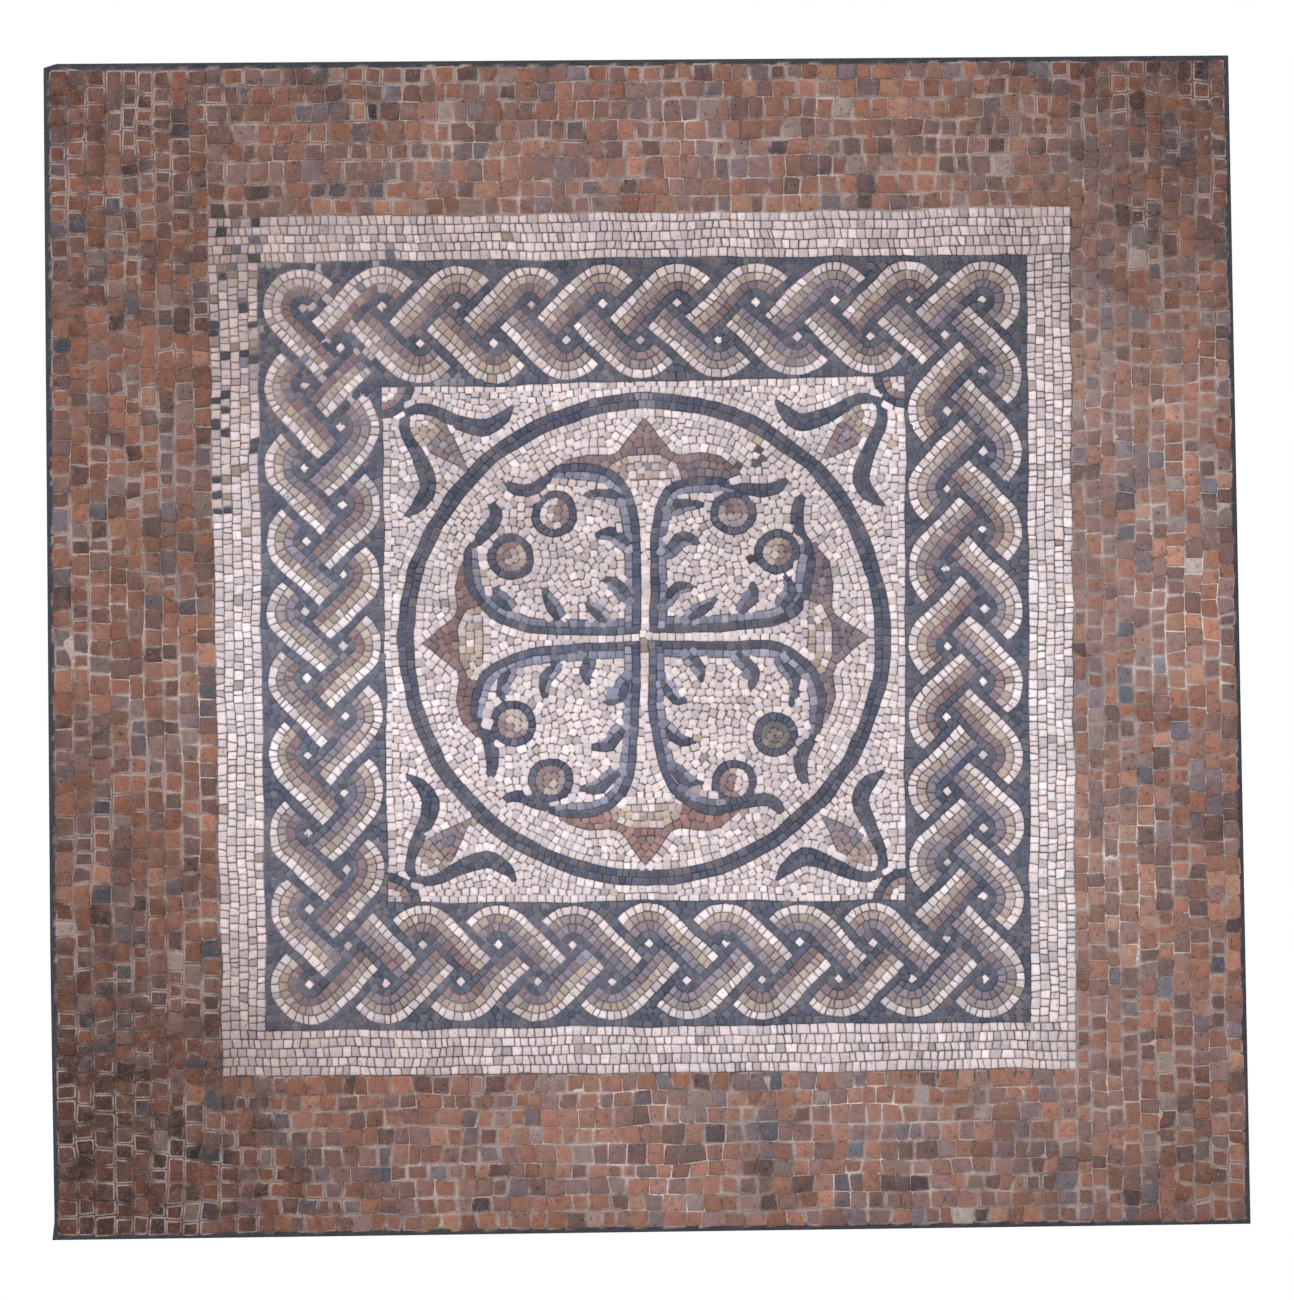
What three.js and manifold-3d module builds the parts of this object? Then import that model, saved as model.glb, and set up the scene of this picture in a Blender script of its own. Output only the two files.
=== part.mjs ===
// A Romano-British mosaic pavement, lifted as one square section and set on a slab so that it can be
// fixed to a wall. Its back lies on the plane y = 0 and its mosaic face looks towards -Y, with +Z up.
// All the work is laid out in face coordinates: u to the right, v up, w forward from the back.

import * as THREE from "three";
import { mergeVertices } from "three/addons/utils/BufferGeometryUtils.js";
import Module from "manifold-3d";

const wasm = await Module();
wasm.setup();

// ---- Depths, in millimetres from the back of the slab
const SLAB_FRONT = 36;
const TILE_BED = 42; // mortar surface under the thick red tiles
const FINE_BED = 50; // mortar surface under the thin cut-stone tesserae
const RIM_FRONT = 59; // mortar edge left standing round the tiles
const FACE = 60;
const STRAND_BED = 52; // the guilloche strands share a thin layer below this
const GAP = 0.3; // clear joint between neighbouring pieces
const PAST = 1; // how far a cutter runs past the face that it cuts

// ---- Corners as laid, clockwise from the top left: no square is quite true
const PANEL_OUTLINE = [[-807, 778], [-790, 783.5], [785, 795], [815, -775], [-795, -797], [-792, -772]];
const TILE_CORNERS = [[-800, 775], [780, 789.5], [810, -770], [-788, -791.5]];
const WHITE_CORNERS = [[-587, 576], [572, 591], [582, -566], [-566, -578]];
const BAND_CORNERS = [[-519, 517], [514, 527], [519, -504], [-507, -515]];
const FIELD_CORNERS = [[-352, 349], [351, 365], [351, -340], [-344, -344]];
const LEFT_SEAM = [-590, -571]; // u of the seams beside the top and bottom tiles, at their outer ends
const RIGHT_SEAM = [571, 584];

// ---- The same squares in the ideal design, as half-sides about the centre
const FIELD_HALF = 351;
const BAND_HALF = 515;

// ---- Guilloche
const PERIOD = 101.2; // from eye to eye along the band
const PERIODS = 9; // between the eyes at two corners
const TURN_RADIUS = PERIOD / (2 * Math.SQRT2);
const STRAND_HALF = 15.6; // three rows of tesserae
const RUN_IN = 78.4; // straight length before a turn
const RUN_OUT = 8; // straight length after it

// ---- Medallion
const RING_RADIUS = 321;
const RING_HALF = 10;
const RING_SIDES = 32;
const ROW = 10.7; // width of one row of cut-stone tesserae

const COLOURS = {
  slab: 0x8d867c,
  mortar: 0x5f5a57,
  redTile: 0x96583e,
  white: 0xded0c6,
  slate: 0x464b5a,
  strand: 0x9b8374,
  blueGrey: 0x6e7489,
  brown: 0x6e504b,
  purple: 0x7d6e76,
  buff: 0xaf9b82,
};

const QUADRANTS = {
  top_right: [1, 1],
  bottom_right: [1, -1],
  bottom_left: [-1, -1],
  top_left: [-1, 1],
};
const SIDES = ["top", "right", "bottom", "left"];

// ---- Laying out

const distance = (a, b) => Math.hypot(b[0] - a[0], b[1] - a[1]);
const between = (a, b, t) => [a[0] + (b[0] - a[0]) * t, a[1] + (b[1] - a[1]) * t];

// A point of a four-cornered field; a and b run from -1 to 1, left to right and bottom to top.
function inField([topLeft, topRight, bottomRight, bottomLeft], a, b) {
  const top = between(topLeft, topRight, (a + 1) / 2);
  const bottom = between(bottomLeft, bottomRight, (a + 1) / 2);
  return between(bottom, top, (b + 1) / 2);
}

// Where a point of the ideal square design was really laid.
function laid([u, v]) {
  const reach = Math.max(Math.abs(u), Math.abs(v), FIELD_HALF);
  const inner = inField(FIELD_CORNERS, u / reach, v / reach);
  const outer = inField(BAND_CORNERS, u / reach, v / reach);
  return between(inner, outer, (reach - FIELD_HALF) / (BAND_HALF - FIELD_HALF));
}

const quarterTurns = ([u, v], turns) => (turns === 0 ? [u, v] : quarterTurns([v, -u], turns - 1));
const mirrored = ([u, v], [signU, signV]) => [u * signU, v * signV];
const swapped = ([u, v]) => [v, u];

// ---- Outlines

const square = (half) => [[-half, half], [half, half], [half, -half], [-half, -half]];

const around = ([u, v], radius, sides) =>
  Array.from({ length: sides }, (_, i) => {
    const angle = (2 * Math.PI * (i + 0.5)) / sides;
    return [u + radius * Math.cos(angle), v + radius * Math.sin(angle)];
  });

// A smooth path through a few points.
function smooth(points, steps) {
  const curve = new THREE.SplineCurve(points.map(([u, v]) => new THREE.Vector2(u, v)));
  return curve.getPoints(steps).map((p) => [p.x, p.y]);
}

// The mitred sideways shift of a corner between two edges, for a shift of 1 to the left of travel.
function mitre(before, at, after) {
  const edgeIn = new THREE.Vector2(at[0] - before[0], at[1] - before[1]).normalize();
  const edgeOut = new THREE.Vector2(after[0] - at[0], after[1] - at[1]).normalize();
  const normalIn = new THREE.Vector2(-edgeIn.y, edgeIn.x);
  const normal = new THREE.Vector2(-edgeOut.y, edgeOut.x).add(normalIn).normalize();
  return normal.divideScalar(normal.dot(normalIn));
}

// The outline of a band along an open path, from its half-width at each point; grow widens it all round.
function bandOutline(path, halfWidths, grow = 0) {
  const last = path.length - 1;
  const start = between(path[0], path[1], -1);
  const end = between(path[last], path[last - 1], -1);
  const lead = (from, to) => {
    const step = new THREE.Vector2(from[0] - to[0], from[1] - to[1]).normalize().multiplyScalar(grow);
    return [from[0] + step.x, from[1] + step.y];
  };
  const spine = [...path];
  spine[0] = lead(path[0], path[1]);
  spine[last] = lead(path[last], path[last - 1]);
  const shifts = path.map((p, i) => mitre(path[i - 1] ?? start, p, path[i + 1] ?? end));
  const side = (sign) =>
    spine.map((p, i) => {
      const width = sign * (halfWidths[i] + grow);
      return [p[0] + shifts[i].x * width, p[1] + shifts[i].y * width];
    });
  const outline = [...side(1), ...side(-1).reverse()];
  return outline.filter((p, i) => distance(p, outline.at(i - 1)) > GAP);
}

const even = (path, halfWidth) => path.map(() => halfWidth);

// A closed outline moved outwards all round.
function grown(loop, margin) {
  const area = THREE.ShapeUtils.area(loop.map(([u, v]) => new THREE.Vector2(u, v)));
  const outward = margin * (area > 0 ? -1 : 1);
  const count = loop.length;
  return loop.map((p, i) => {
    const shift = mitre(loop[(i + count - 1) % count], p, loop[(i + 1) % count]);
    return [p[0] + shift.x * outward, p[1] + shift.y * outward];
  });
}

// ---- Solids

function solidOf(geometry) {
  geometry.deleteAttribute("normal");
  geometry.deleteAttribute("uv");
  const merged = mergeVertices(geometry, 1e-4);
  return new wasm.Manifold(
    new wasm.Mesh({
      numProp: 3,
      vertProperties: new Float32Array(merged.attributes.position.array),
      triVerts: new Uint32Array(merged.index.array),
    }),
  );
}

// A flat plate of the given outline between two depths.
function plate(loop, from, to) {
  const shape = new THREE.Shape(loop.map(([u, v]) => new THREE.Vector2(u, v)));
  const geometry = new THREE.ExtrudeGeometry(shape, { depth: to - from, bevelEnabled: false });
  geometry.translate(0, 0, from);
  return solidOf(geometry);
}

const joined = (solids) => solids.reduce((all, solid) => all.add(solid));
const without = (solid, cutters) => cutters.reduce((left, cutter) => left.subtract(cutter), solid);

// The bodies that cutting left, largest first. The small ones are too narrow for a tessera.
const largestFirst = (solid) => solid.decompose().sort((a, b) => b.volume() - a.volume());

// ---- The meshes

const mosaic = new THREE.Group();

function addMesh(name, solid, colour, place = (point) => point) {
  const mesh = solid.getMesh();
  const positions = [];
  for (let i = 0; i < mesh.numVert; i++) {
    const [u, v, w] = mesh.vertProperties.subarray(i * mesh.numProp, i * mesh.numProp + 3);
    const [x, z] = place([u, v]);
    positions.push(x, -w, z);
  }
  const geometry = new THREE.BufferGeometry();
  geometry.setAttribute("position", new THREE.Float32BufferAttribute(positions, 3));
  geometry.setIndex(Array.from(mesh.triVerts));
  geometry.computeVertexNormals();
  const material = new THREE.MeshStandardMaterial({ color: colour, roughness: 0.8, metalness: 0 });
  const piece = new THREE.Mesh(geometry, material);
  piece.name = name;
  mosaic.add(piece);
}

// ---- Slab and mortar

function addBacking() {
  addMesh("backing_slab", plate(PANEL_OUTLINE, 0, SLAB_FRONT), COLOURS.slab);
  const whole = plate(PANEL_OUTLINE, SLAB_FRONT + GAP, RIM_FRONT);
  const hollow = plate(grown(TILE_CORNERS, GAP), TILE_BED, FACE);
  const plateau = plate(grown(WHITE_CORNERS, -GAP), TILE_BED - PAST, FINE_BED);
  addMesh("mortar_bed", whole.subtract(hollow).add(plateau), COLOURS.mortar);
}

// ---- Red tile border: two full-height strips, with the top and bottom strips between them

function addRedBorder() {
  const [topLeft, topRight, bottomRight, bottomLeft] = TILE_CORNERS;
  const [whiteTopLeft, whiteTopRight, whiteBottomRight, whiteBottomLeft] = grown(WHITE_CORNERS, GAP / 2);
  const onEdge = (a, b, u) => between(a, b, (u - a[0]) / (b[0] - a[0]));
  const leftTop = onEdge(topLeft, topRight, LEFT_SEAM[0]);
  const rightTop = onEdge(topLeft, topRight, RIGHT_SEAM[0]);
  const leftBottom = onEdge(bottomLeft, bottomRight, LEFT_SEAM[1]);
  const rightBottom = onEdge(bottomLeft, bottomRight, RIGHT_SEAM[1]);
  const beside = ([u, v], shift) => [u + shift, v];
  const strips = {
    left: [topLeft, leftTop, whiteTopLeft, whiteBottomLeft, leftBottom, bottomLeft],
    right: [topRight, rightTop, whiteTopRight, whiteBottomRight, rightBottom, bottomRight],
    top: [
      beside(leftTop, GAP),
      beside(rightTop, -GAP),
      beside(whiteTopRight, -GAP),
      beside(whiteTopLeft, GAP),
    ],
    bottom: [
      beside(leftBottom, GAP),
      beside(rightBottom, -GAP),
      beside(whiteBottomRight, -GAP),
      beside(whiteBottomLeft, GAP),
    ],
  };
  for (const [side, outline] of Object.entries(strips))
    addMesh("red_border_" + side, plate(outline, TILE_BED + GAP, FACE), COLOURS.redTile);
}

// ---- White border

function addWhiteBorder() {
  const whole = plate(grown(WHITE_CORNERS, -GAP / 2), FINE_BED + GAP, FACE);
  const opening = plate(BAND_CORNERS, FINE_BED, FACE + PAST);
  addMesh("white_border", whole.subtract(opening), COLOURS.white);
}

// ---- Guilloche: a three-strand plait that turns at each corner

// The path of one visible length of strand: a straight run, a turn about an eye and a short straight
// run. Along and across are measured in the band; side is 1 for the outer turns and -1 for the inner.
function strandPath(along, across, side, turn) {
  const step = Math.PI / 4;
  const steps = Math.round(turn / step);
  const corner = TURN_RADIUS / Math.cos(step / 2);
  const start = (5 * Math.PI) / 4;
  const onTurn = (angle, radius) => [radius * Math.cos(angle), radius * Math.sin(angle)];
  const heading = (angle) => [-Math.sin(angle), Math.cos(angle)];
  const run = (angle, length) => {
    const [x, y] = onTurn(angle, TURN_RADIUS);
    const [dx, dy] = heading(angle);
    return [x + dx * length, y + dy * length];
  };
  const turns = Array.from({ length: steps }, (_, i) => onTurn(start + step * (i + 0.5), corner));
  const path = [run(start, -RUN_IN), ...turns, run(start + turn, RUN_OUT)];
  return path.map(([x, y]) => [along + x, across + y * side]);
}

function strandPaths() {
  const paths = [];
  for (let eye = 1; eye < PERIODS; eye++) paths.push(strandPath(eye * PERIOD, 0, 1, Math.PI / 2));
  paths.push(strandPath(PERIODS * PERIOD, 0, 1, Math.PI));
  for (let eye = 1.5; eye < PERIODS - 1; eye++)
    paths.push(strandPath(eye * PERIOD, PERIOD / 2, -1, Math.PI / 2));
  paths.push(strandPath((PERIODS - 0.5) * PERIOD, PERIOD / 2, -1, 0));
  const half = (PERIODS * PERIOD) / 2;
  const top = paths.map((path) => path.map(([x, y]) => [x - half, half - y]));
  return SIDES.flatMap((_, turns) => top.map((path) => path.map((p) => quarterTurns(p, turns))));
}

function addGuilloche() {
  const paths = strandPaths();
  const lengths = (grow, from, to) =>
    paths.map((path) => plate(bandOutline(path, even(path, STRAND_HALF), grow), from, to));
  const ring = (from, to) => {
    const outer = plate(square(BAND_HALF - GAP / 2), from, to);
    return outer.subtract(plate(square(FIELD_HALF + GAP / 2), from - PAST, to + PAST));
  };
  const bed = ring(FINE_BED + GAP, STRAND_BED);
  const strands = joined([bed, ...lengths(0, STRAND_BED - PAST, FACE)]);
  const ground = without(ring(STRAND_BED + GAP, FACE), lengths(GAP, STRAND_BED, FACE + PAST));
  addMesh("guilloche_strands", strands, COLOURS.strand, laid);
  addMesh("guilloche_ground", ground, COLOURS.slate, laid);
}

// ---- Medallion: a ring round four acanthus leaves, with a bud in each corner outside it

// An inlay is a function from a growth to its outlines. Grown by the gap, it cuts its own pocket.
const inlaid = (outlines) => joined(outlines(0).map((loop) => plate(loop, FINE_BED + GAP, FACE)));
const pocket = (outlines) => joined(outlines(GAP).map((loop) => plate(loop, FINE_BED, FACE + PAST)));

// Half a leaf, on the lower side of its diagonal: from the corner at the centre, along the straight
// edge and round the lobe to the curled tip. Every shape is given for the top right quadrant.
const LEAF_CORNER = [16.2, 16.2];
const LEAF_LOBE = smooth(
  [[125, 16.5], [178, 24.5], [223.5, 62], [232.5, 89], [211, 135], [195, 157], [199, 177], [213, 191]],
  8,
);
const LEAF_PATH = [...LEAF_LOBE.map(swapped).reverse(), LEAF_CORNER, ...LEAF_LOBE];
const TIP_WIDTHS = [0, 8];
const LEAF_WIDTHS = LEAF_PATH.map((_, i) => TIP_WIDTHS[Math.min(i, LEAF_PATH.length - 1 - i)] ?? ROW);
const BARBS = [
  [[178, 26], [196, 54], [190, 77]],
  [[116, 20], [133, 46], [132, 69]],
  [[52, 20], [73, 39], [79, 56]],
];
const BARB_WIDTHS = [9, 6.5, 0];
const SCROLL_CENTRE = [172, 114];
const SCROLL_RADIUS = 30.5;
const SCROLL_SIDES = 10;

const leaf = (quadrant) => (grow) => {
  const barbs = BARBS.flatMap((barb) => [barb, barb.map(swapped)]);
  const bands = [
    [LEAF_PATH, LEAF_WIDTHS],
    ...barbs.map((barb) => [barb, BARB_WIDTHS]),
  ];
  return bands.map(([path, widths]) =>
    bandOutline(path, widths, grow).map((p) => mirrored(p, quadrant)),
  );
};

const scroll = (centre) => (grow) => [around(centre, SCROLL_RADIUS + grow, SCROLL_SIDES)];

// The shape behind two neighbouring leaves: a point at the ring, with a wing over each leaf lobe.
const POINT_TOP = [[0, 303], [35, 255], [46, 251], [78, 254], [104, 247], [132, 226]];
const POINT_UNDERSIDE = [[95, 231], [56, 221], [44, 242]];
const BASE_HALF = [[50, 242], [50, 226], [30, 218]];

// A closed outline about the vertical axis from its right half, taken round to one side.
function symmetric(rightHalf, turns, grow) {
  const left = rightHalf.filter(([u]) => u > 0).map(([u, v]) => [-u, v]).reverse();
  return [grown([...rightHalf, ...left], grow).map((p) => quarterTurns(p, turns))];
}

const point = (turns) => (grow) => symmetric([...POINT_TOP, ...POINT_UNDERSIDE], turns, grow);
const base = (turns) => (grow) => symmetric(BASE_HALF, turns, grow);

// Half of a corner tendril, from the tip of its tail to the diagonal.
const TENDRIL = smooth([[318, 180], [297, 195], [286, 215], [299, 250], [322, 290], [319, 319]], 6);
const TENDRIL_PATH = [...TENDRIL, ...TENDRIL.map(swapped).reverse().slice(1)];
const TENDRIL_WIDTHS = [0, 10, 9, 6.5, 5.4, 5.4, 5.4];
const CORNER_RING = 37; // radius of the quarter ring in the corner of the field

// A quarter circle about the corner of the field.
const cornerArc = (radius) =>
  [0, 1, 2, 3].map((i) => {
    const angle = (i * Math.PI) / 6;
    return [FIELD_HALF - GAP - radius * Math.cos(angle), FIELD_HALF - GAP - radius * Math.sin(angle)];
  });

const tendril = (quadrant) => (grow) => {
  const widths = TENDRIL_PATH.map((_, i) => TENDRIL_WIDTHS[Math.min(i, TENDRIL_PATH.length - 1 - i)]);
  const arc = cornerArc(CORNER_RING);
  const bands = [bandOutline(TENDRIL_PATH, widths, grow), bandOutline(arc, even(arc, ROW / 2), grow)];
  return bands.map((loop) => loop.map((p) => mirrored(p, quadrant)));
};

const spot = (quadrant) => (grow) => {
  const loop = [...cornerArc(CORNER_RING - ROW / 2 - GAP), [FIELD_HALF - GAP, FIELD_HALF - GAP]];
  return [grown(loop, grow).map((p) => mirrored(p, quadrant))];
};

// The bud between the tendrils, as distances along the diagonal and half-widths across it.
const BUD_TIP = 333;
const BUD_WAIST = 385;
const BUD_TOP = 430;
const BUD_HALF = 21;
const BUD_TOP_HALF = 13;

const onDiagonal = (along, across, quadrant) =>
  mirrored([(along + across) / Math.SQRT2, (along - across) / Math.SQRT2], quadrant);

const onDiagonals = (corners, quadrant, grow) => [
  grown(corners.map(([along, across]) => onDiagonal(along, across, quadrant)), grow),
];

const bud = (quadrant) => (grow) => {
  const corners = [[BUD_TIP, 0], [BUD_WAIST, BUD_HALF], [BUD_WAIST, -BUD_HALF]];
  return onDiagonals(corners, quadrant, grow);
};

const cup = (quadrant) => (grow) => {
  const waist = BUD_WAIST + GAP;
  const right = [[waist, BUD_HALF], [BUD_TOP, BUD_TOP_HALF]];
  const left = right.map(([along, across]) => [along, -across]).reverse();
  return onDiagonals([...right, ...left], quadrant, grow);
};

function addMedallion() {
  const pockets = [];
  const add = (name, outlines, colour, neighbours = []) => {
    addMesh(name, without(inlaid(outlines), neighbours.map(pocket)), colour, laid);
    pockets.push(pocket(outlines));
  };
  const quadrants = Object.entries(QUADRANTS);
  const leaves = quadrants.map(([, signs]) => leaf(signs));
  quadrants.forEach(([where, signs], i) => {
    add("acanthus_leaf_" + where, leaves[i], COLOURS.blueGrey);
    [SCROLL_CENTRE, swapped(SCROLL_CENTRE)].forEach((centre, j) => {
      add("scroll_" + where + (j ? "_upper" : "_lower"), scroll(mirrored(centre, signs)), COLOURS.brown);
    });
  });
  SIDES.forEach((side, turns) => {
    add("brown_point_" + side, point(turns), COLOURS.brown, leaves);
    add("buff_base_" + side, base(turns), COLOURS.buff, [...leaves, point(turns)]);
  });

  const disc = (radius, from, to) => plate(around([0, 0], radius, RING_SIDES), from, to);
  const ringOuter = disc(RING_RADIUS + RING_HALF, FINE_BED + GAP, FACE);
  const ringInner = disc(RING_RADIUS - RING_HALF, FINE_BED, FACE + PAST);
  addMesh("medallion_ring", ringOuter.subtract(ringInner), COLOURS.slate, laid);
  // The leaves and the shapes behind them part the white ground in two.
  const ground = without(disc(RING_RADIUS - RING_HALF - GAP, FINE_BED + GAP, FACE), pockets);
  const [medallionGround, crossGround] = largestFirst(ground);
  addMesh("medallion_ground", medallionGround, COLOURS.white, laid);
  addMesh("cross_ground", crossGround, COLOURS.white, laid);
  addCorners(quadrants, disc(RING_RADIUS + RING_HALF + GAP, FINE_BED, FACE + PAST));
}

// The corners of the field outside the ring.
function addCorners(quadrants, ringPocket) {
  const pockets = [ringPocket];
  const field = plate(square(FIELD_HALF - GAP / 2), FINE_BED + GAP, FACE);
  quadrants.forEach(([where, signs]) => {
    addMesh("corner_tendril_" + where, inlaid(tendril(signs)).intersect(field), COLOURS.slate, laid);
    addMesh("corner_bud_" + where, inlaid(bud(signs)), COLOURS.purple, laid);
    addMesh("bud_cup_" + where, inlaid(cup(signs)), COLOURS.buff, laid);
    addMesh("corner_spot_" + where, inlaid(spot(signs)), COLOURS.brown, laid);
    pockets.push(...[tendril, bud, cup, spot].map((shape) => pocket(shape(signs))));
  });
  addMesh("corner_ground", largestFirst(without(field, pockets))[0], COLOURS.white, laid);
}

addBacking();
addRedBorder();
addWhiteBorder();
addGuilloche();
addMedallion();

export default mosaic;
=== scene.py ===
import math

import bpy
import numpy as np
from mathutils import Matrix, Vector
from mathutils.kdtree import KDTree


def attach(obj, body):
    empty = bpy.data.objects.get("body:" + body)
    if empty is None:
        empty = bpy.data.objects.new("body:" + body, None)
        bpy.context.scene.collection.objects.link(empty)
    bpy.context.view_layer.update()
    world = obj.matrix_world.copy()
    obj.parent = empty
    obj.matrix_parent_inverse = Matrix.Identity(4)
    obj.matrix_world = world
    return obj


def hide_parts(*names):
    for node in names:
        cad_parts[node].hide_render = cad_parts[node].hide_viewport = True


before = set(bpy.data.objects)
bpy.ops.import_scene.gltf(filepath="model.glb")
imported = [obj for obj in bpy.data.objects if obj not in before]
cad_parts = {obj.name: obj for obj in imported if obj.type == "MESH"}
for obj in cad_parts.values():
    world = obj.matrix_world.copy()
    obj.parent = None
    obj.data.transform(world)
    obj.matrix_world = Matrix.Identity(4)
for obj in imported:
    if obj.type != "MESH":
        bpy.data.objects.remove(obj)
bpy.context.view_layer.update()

rng = np.random.default_rng(20)
TAU = 2 * math.pi
join = np.concatenate

# ---- layout, mm, as in the CAD source
# Face coordinates: u to the right, v up, w forward from the back of the slab.
SLAB_FRONT, TILE_BED, FINE_BED, RIM_FRONT, FACE, GAP = 36.0, 42.0, 50.0, 59.0, 60.0, 0.3
TILE_CORNERS = [(-800, 775), (780, 789.5), (810, -770), (-788, -791.5)]
WHITE_CORNERS = [(-587, 576), (572, 591), (582, -566), (-566, -578)]
BAND_CORNERS = [(-519, 517), (514, 527), (519, -504), (-507, -515)]
FIELD_CORNERS = [(-352, 349), (351, 365), (351, -340), (-344, -344)]
MORTAR_CORNERS = [(-807, 783.4), (785, 795), (815, -775), (-795, -797)]
LEFT_SEAM, RIGHT_SEAM = (-590, -571), (571, 584)
FIELD_HALF, BAND_HALF, WHITE_HALF = 351.0, 515.0, 577.0
PERIOD, PERIODS = 101.2, 9
EYE_HALF = PERIODS * PERIOD / 2
TURN_RADIUS = PERIOD / (2 * math.sqrt(2))
RUN_IN, RUN_OUT = 78.4, 8.0
SIDES = ("top", "right", "bottom", "left")
QUADRANTS = {"top_right": (1, 1), "bottom_right": (1, -1),
             "bottom_left": (-1, -1), "top_left": (-1, 1)}


def arr(points):
    return np.array(points, float)


def unit(angle):
    return np.stack([np.cos(angle), np.sin(angle)], -1)


def blend(a, b, share):
    return a * (1 - share) + b * share


def square_reach(p):
    """How far out points lie, counted in squares round the middle."""
    return np.abs(p).max(-1)


def in_field(corners, a, b):
    """Points between four corners, where a and b run from -1 to 1."""
    tl, tr, br, bl = (arr(c) for c in corners)
    s, t = ((a + 1) / 2)[..., None], ((b + 1) / 2)[..., None]
    top, bottom = tl + (tr - tl) * s, bl + (br - bl) * s
    return bottom + (top - bottom) * t


def laid(p):
    """Where ideal points were really laid: in nested squares, none of them quite true."""
    reach = np.maximum(square_reach(p), FIELD_HALF)
    a, b = p[..., 0] / reach, p[..., 1] / reach
    levels = [(FIELD_HALF, FIELD_CORNERS), (BAND_HALF, BAND_CORNERS), (WHITE_HALF, WHITE_CORNERS)]
    out = in_field(FIELD_CORNERS, a, b)
    for (h0, c0), (h1, c1) in zip(levels, levels[1:]):
        t = ((reach - h0) / (h1 - h0))[..., None]
        p0, p1 = in_field(c0, a, b), in_field(c1, a, b)
        out = np.where(t > 0, p0 + (p1 - p0) * t, out)
    return out


def turned(p, quarter_turns):
    for _ in range(quarter_turns):
        p = np.stack([p[..., 1], -p[..., 0]], -1)
    return p


class Drift:
    """Smooth seeded noise over the face, about -1 to 1, from sine waves of a given length."""

    def __init__(self, shortest, longest, waves=9):
        length = np.exp(rng.uniform(math.log(shortest), math.log(longest), waves))
        angle = rng.uniform(0, TAU, waves)
        self.k = np.stack([np.cos(angle), np.sin(angle)]) * TAU / length
        self.phase = rng.uniform(0, TAU, waves)
        self.amp = (length / longest) ** 0.5
        self.amp /= math.sqrt((self.amp**2).sum() / 2) * 1.6

    def __call__(self, p):
        return (np.sin(p @ self.k + self.phase) * self.amp).sum(-1)


wobble_u, wobble_v = Drift(35, 240), Drift(35, 240)
shift_u, shift_v = Drift(12, 40), Drift(12, 40)
WOBBLE, SHIFT = 1.5, 0.35  # how far the rows wander, and how far single stones do


def wobbled(p):
    u = wobble_u(p) * WOBBLE + shift_u(p) * SHIFT
    v = wobble_v(p) * WOBBLE + shift_v(p) * SHIFT
    return p + np.stack([u, v], -1)


# ---- colours, sRGB 0-255
PALETTES = {  # weight, red, green, blue
    "white": [(30, 228, 214, 217), (24, 236, 222, 225), (16, 216, 203, 209), (12, 226, 210, 210),
        (8, 204, 192, 200), (5, 212, 197, 197), (3, 188, 174, 176), (0.3, 182, 164, 150)],
    "slate": [(30, 84, 89, 108), (25, 78, 83, 104), (16, 93, 96, 113), (10, 72, 77, 96),
        (8, 99, 99, 112), (4, 70, 77, 100), (5, 106, 104, 114)],
    "blue": [(26, 138, 141, 163), (22, 149, 151, 171), (16, 127, 130, 151), (12, 157, 158, 175),
        (10, 115, 120, 141), (6, 142, 141, 155)],
    "brown": [(26, 146, 126, 131), (20, 157, 135, 137), (18, 136, 117, 123), (12, 165, 143, 142),
        (10, 140, 130, 140), (6, 150, 122, 119)],
    "purple": [(28, 154, 144, 157), (22, 146, 136, 149), (16, 162, 152, 163), (14, 150, 132, 140),
        (8, 137, 134, 149), (5, 154, 129, 130)],
    "russet": [(28, 154, 130, 129), (22, 146, 122, 124), (14, 165, 138, 132), (12, 137, 118, 123),
        (8, 150, 136, 143)],
    "buff": [(26, 197, 180, 172), (22, 187, 172, 166), (16, 207, 192, 186), (12, 180, 166, 164),
        (10, 192, 172, 158), (6, 172, 160, 161), (5, 217, 204, 199)],
    "taupe": [(26, 176, 163, 163), (20, 166, 155, 159), (16, 186, 172, 169), (10, 192, 177, 168),
        (8, 156, 147, 154)],
    "dun": [(24, 126, 121, 122), (18, 138, 129, 126), (12, 114, 111, 117), (10, 150, 139, 134),
        (5, 166, 152, 148)],
    "tile": [(20, 151, 105, 88), (17, 142, 98, 83), (15, 138, 103, 94), (12, 128, 100, 98),
        (10, 116, 89, 84), (6, 162, 121, 101), (7, 114, 98, 104), (5, 139, 119, 116),
        (6, 96, 75, 73), (2.6, 108, 103, 113), (1.2, 84, 90, 104), (1.2, 69, 58, 66),
        (1.0, 145, 132, 127), (0.3, 176, 166, 163)],
}


def from_palette(name, count):
    rows = arr(PALETTES[name])
    weight = rows[:, 0]
    return rows[:, 1:][rng.choice(len(rows), count, p=weight / weight.sum())]


def linear(srgb):
    c = np.clip(srgb, 0, 255) / 255
    return np.where(c <= 0.04045, c / 12.92, ((c + 0.055) / 1.055) ** 2.4)


# ---- paths and rows of stones
stones = {}  # piece: list of (polygons n x 4 or 8 x 2, colours n x 3, kind)
ROW_POINTS = 600  # along each straight row


def add_stones(piece, polys, colours, kind):
    stones.setdefault(piece, []).append((polys, colours, kind))


def closed(path):
    return join([path, path[:1]])


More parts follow.
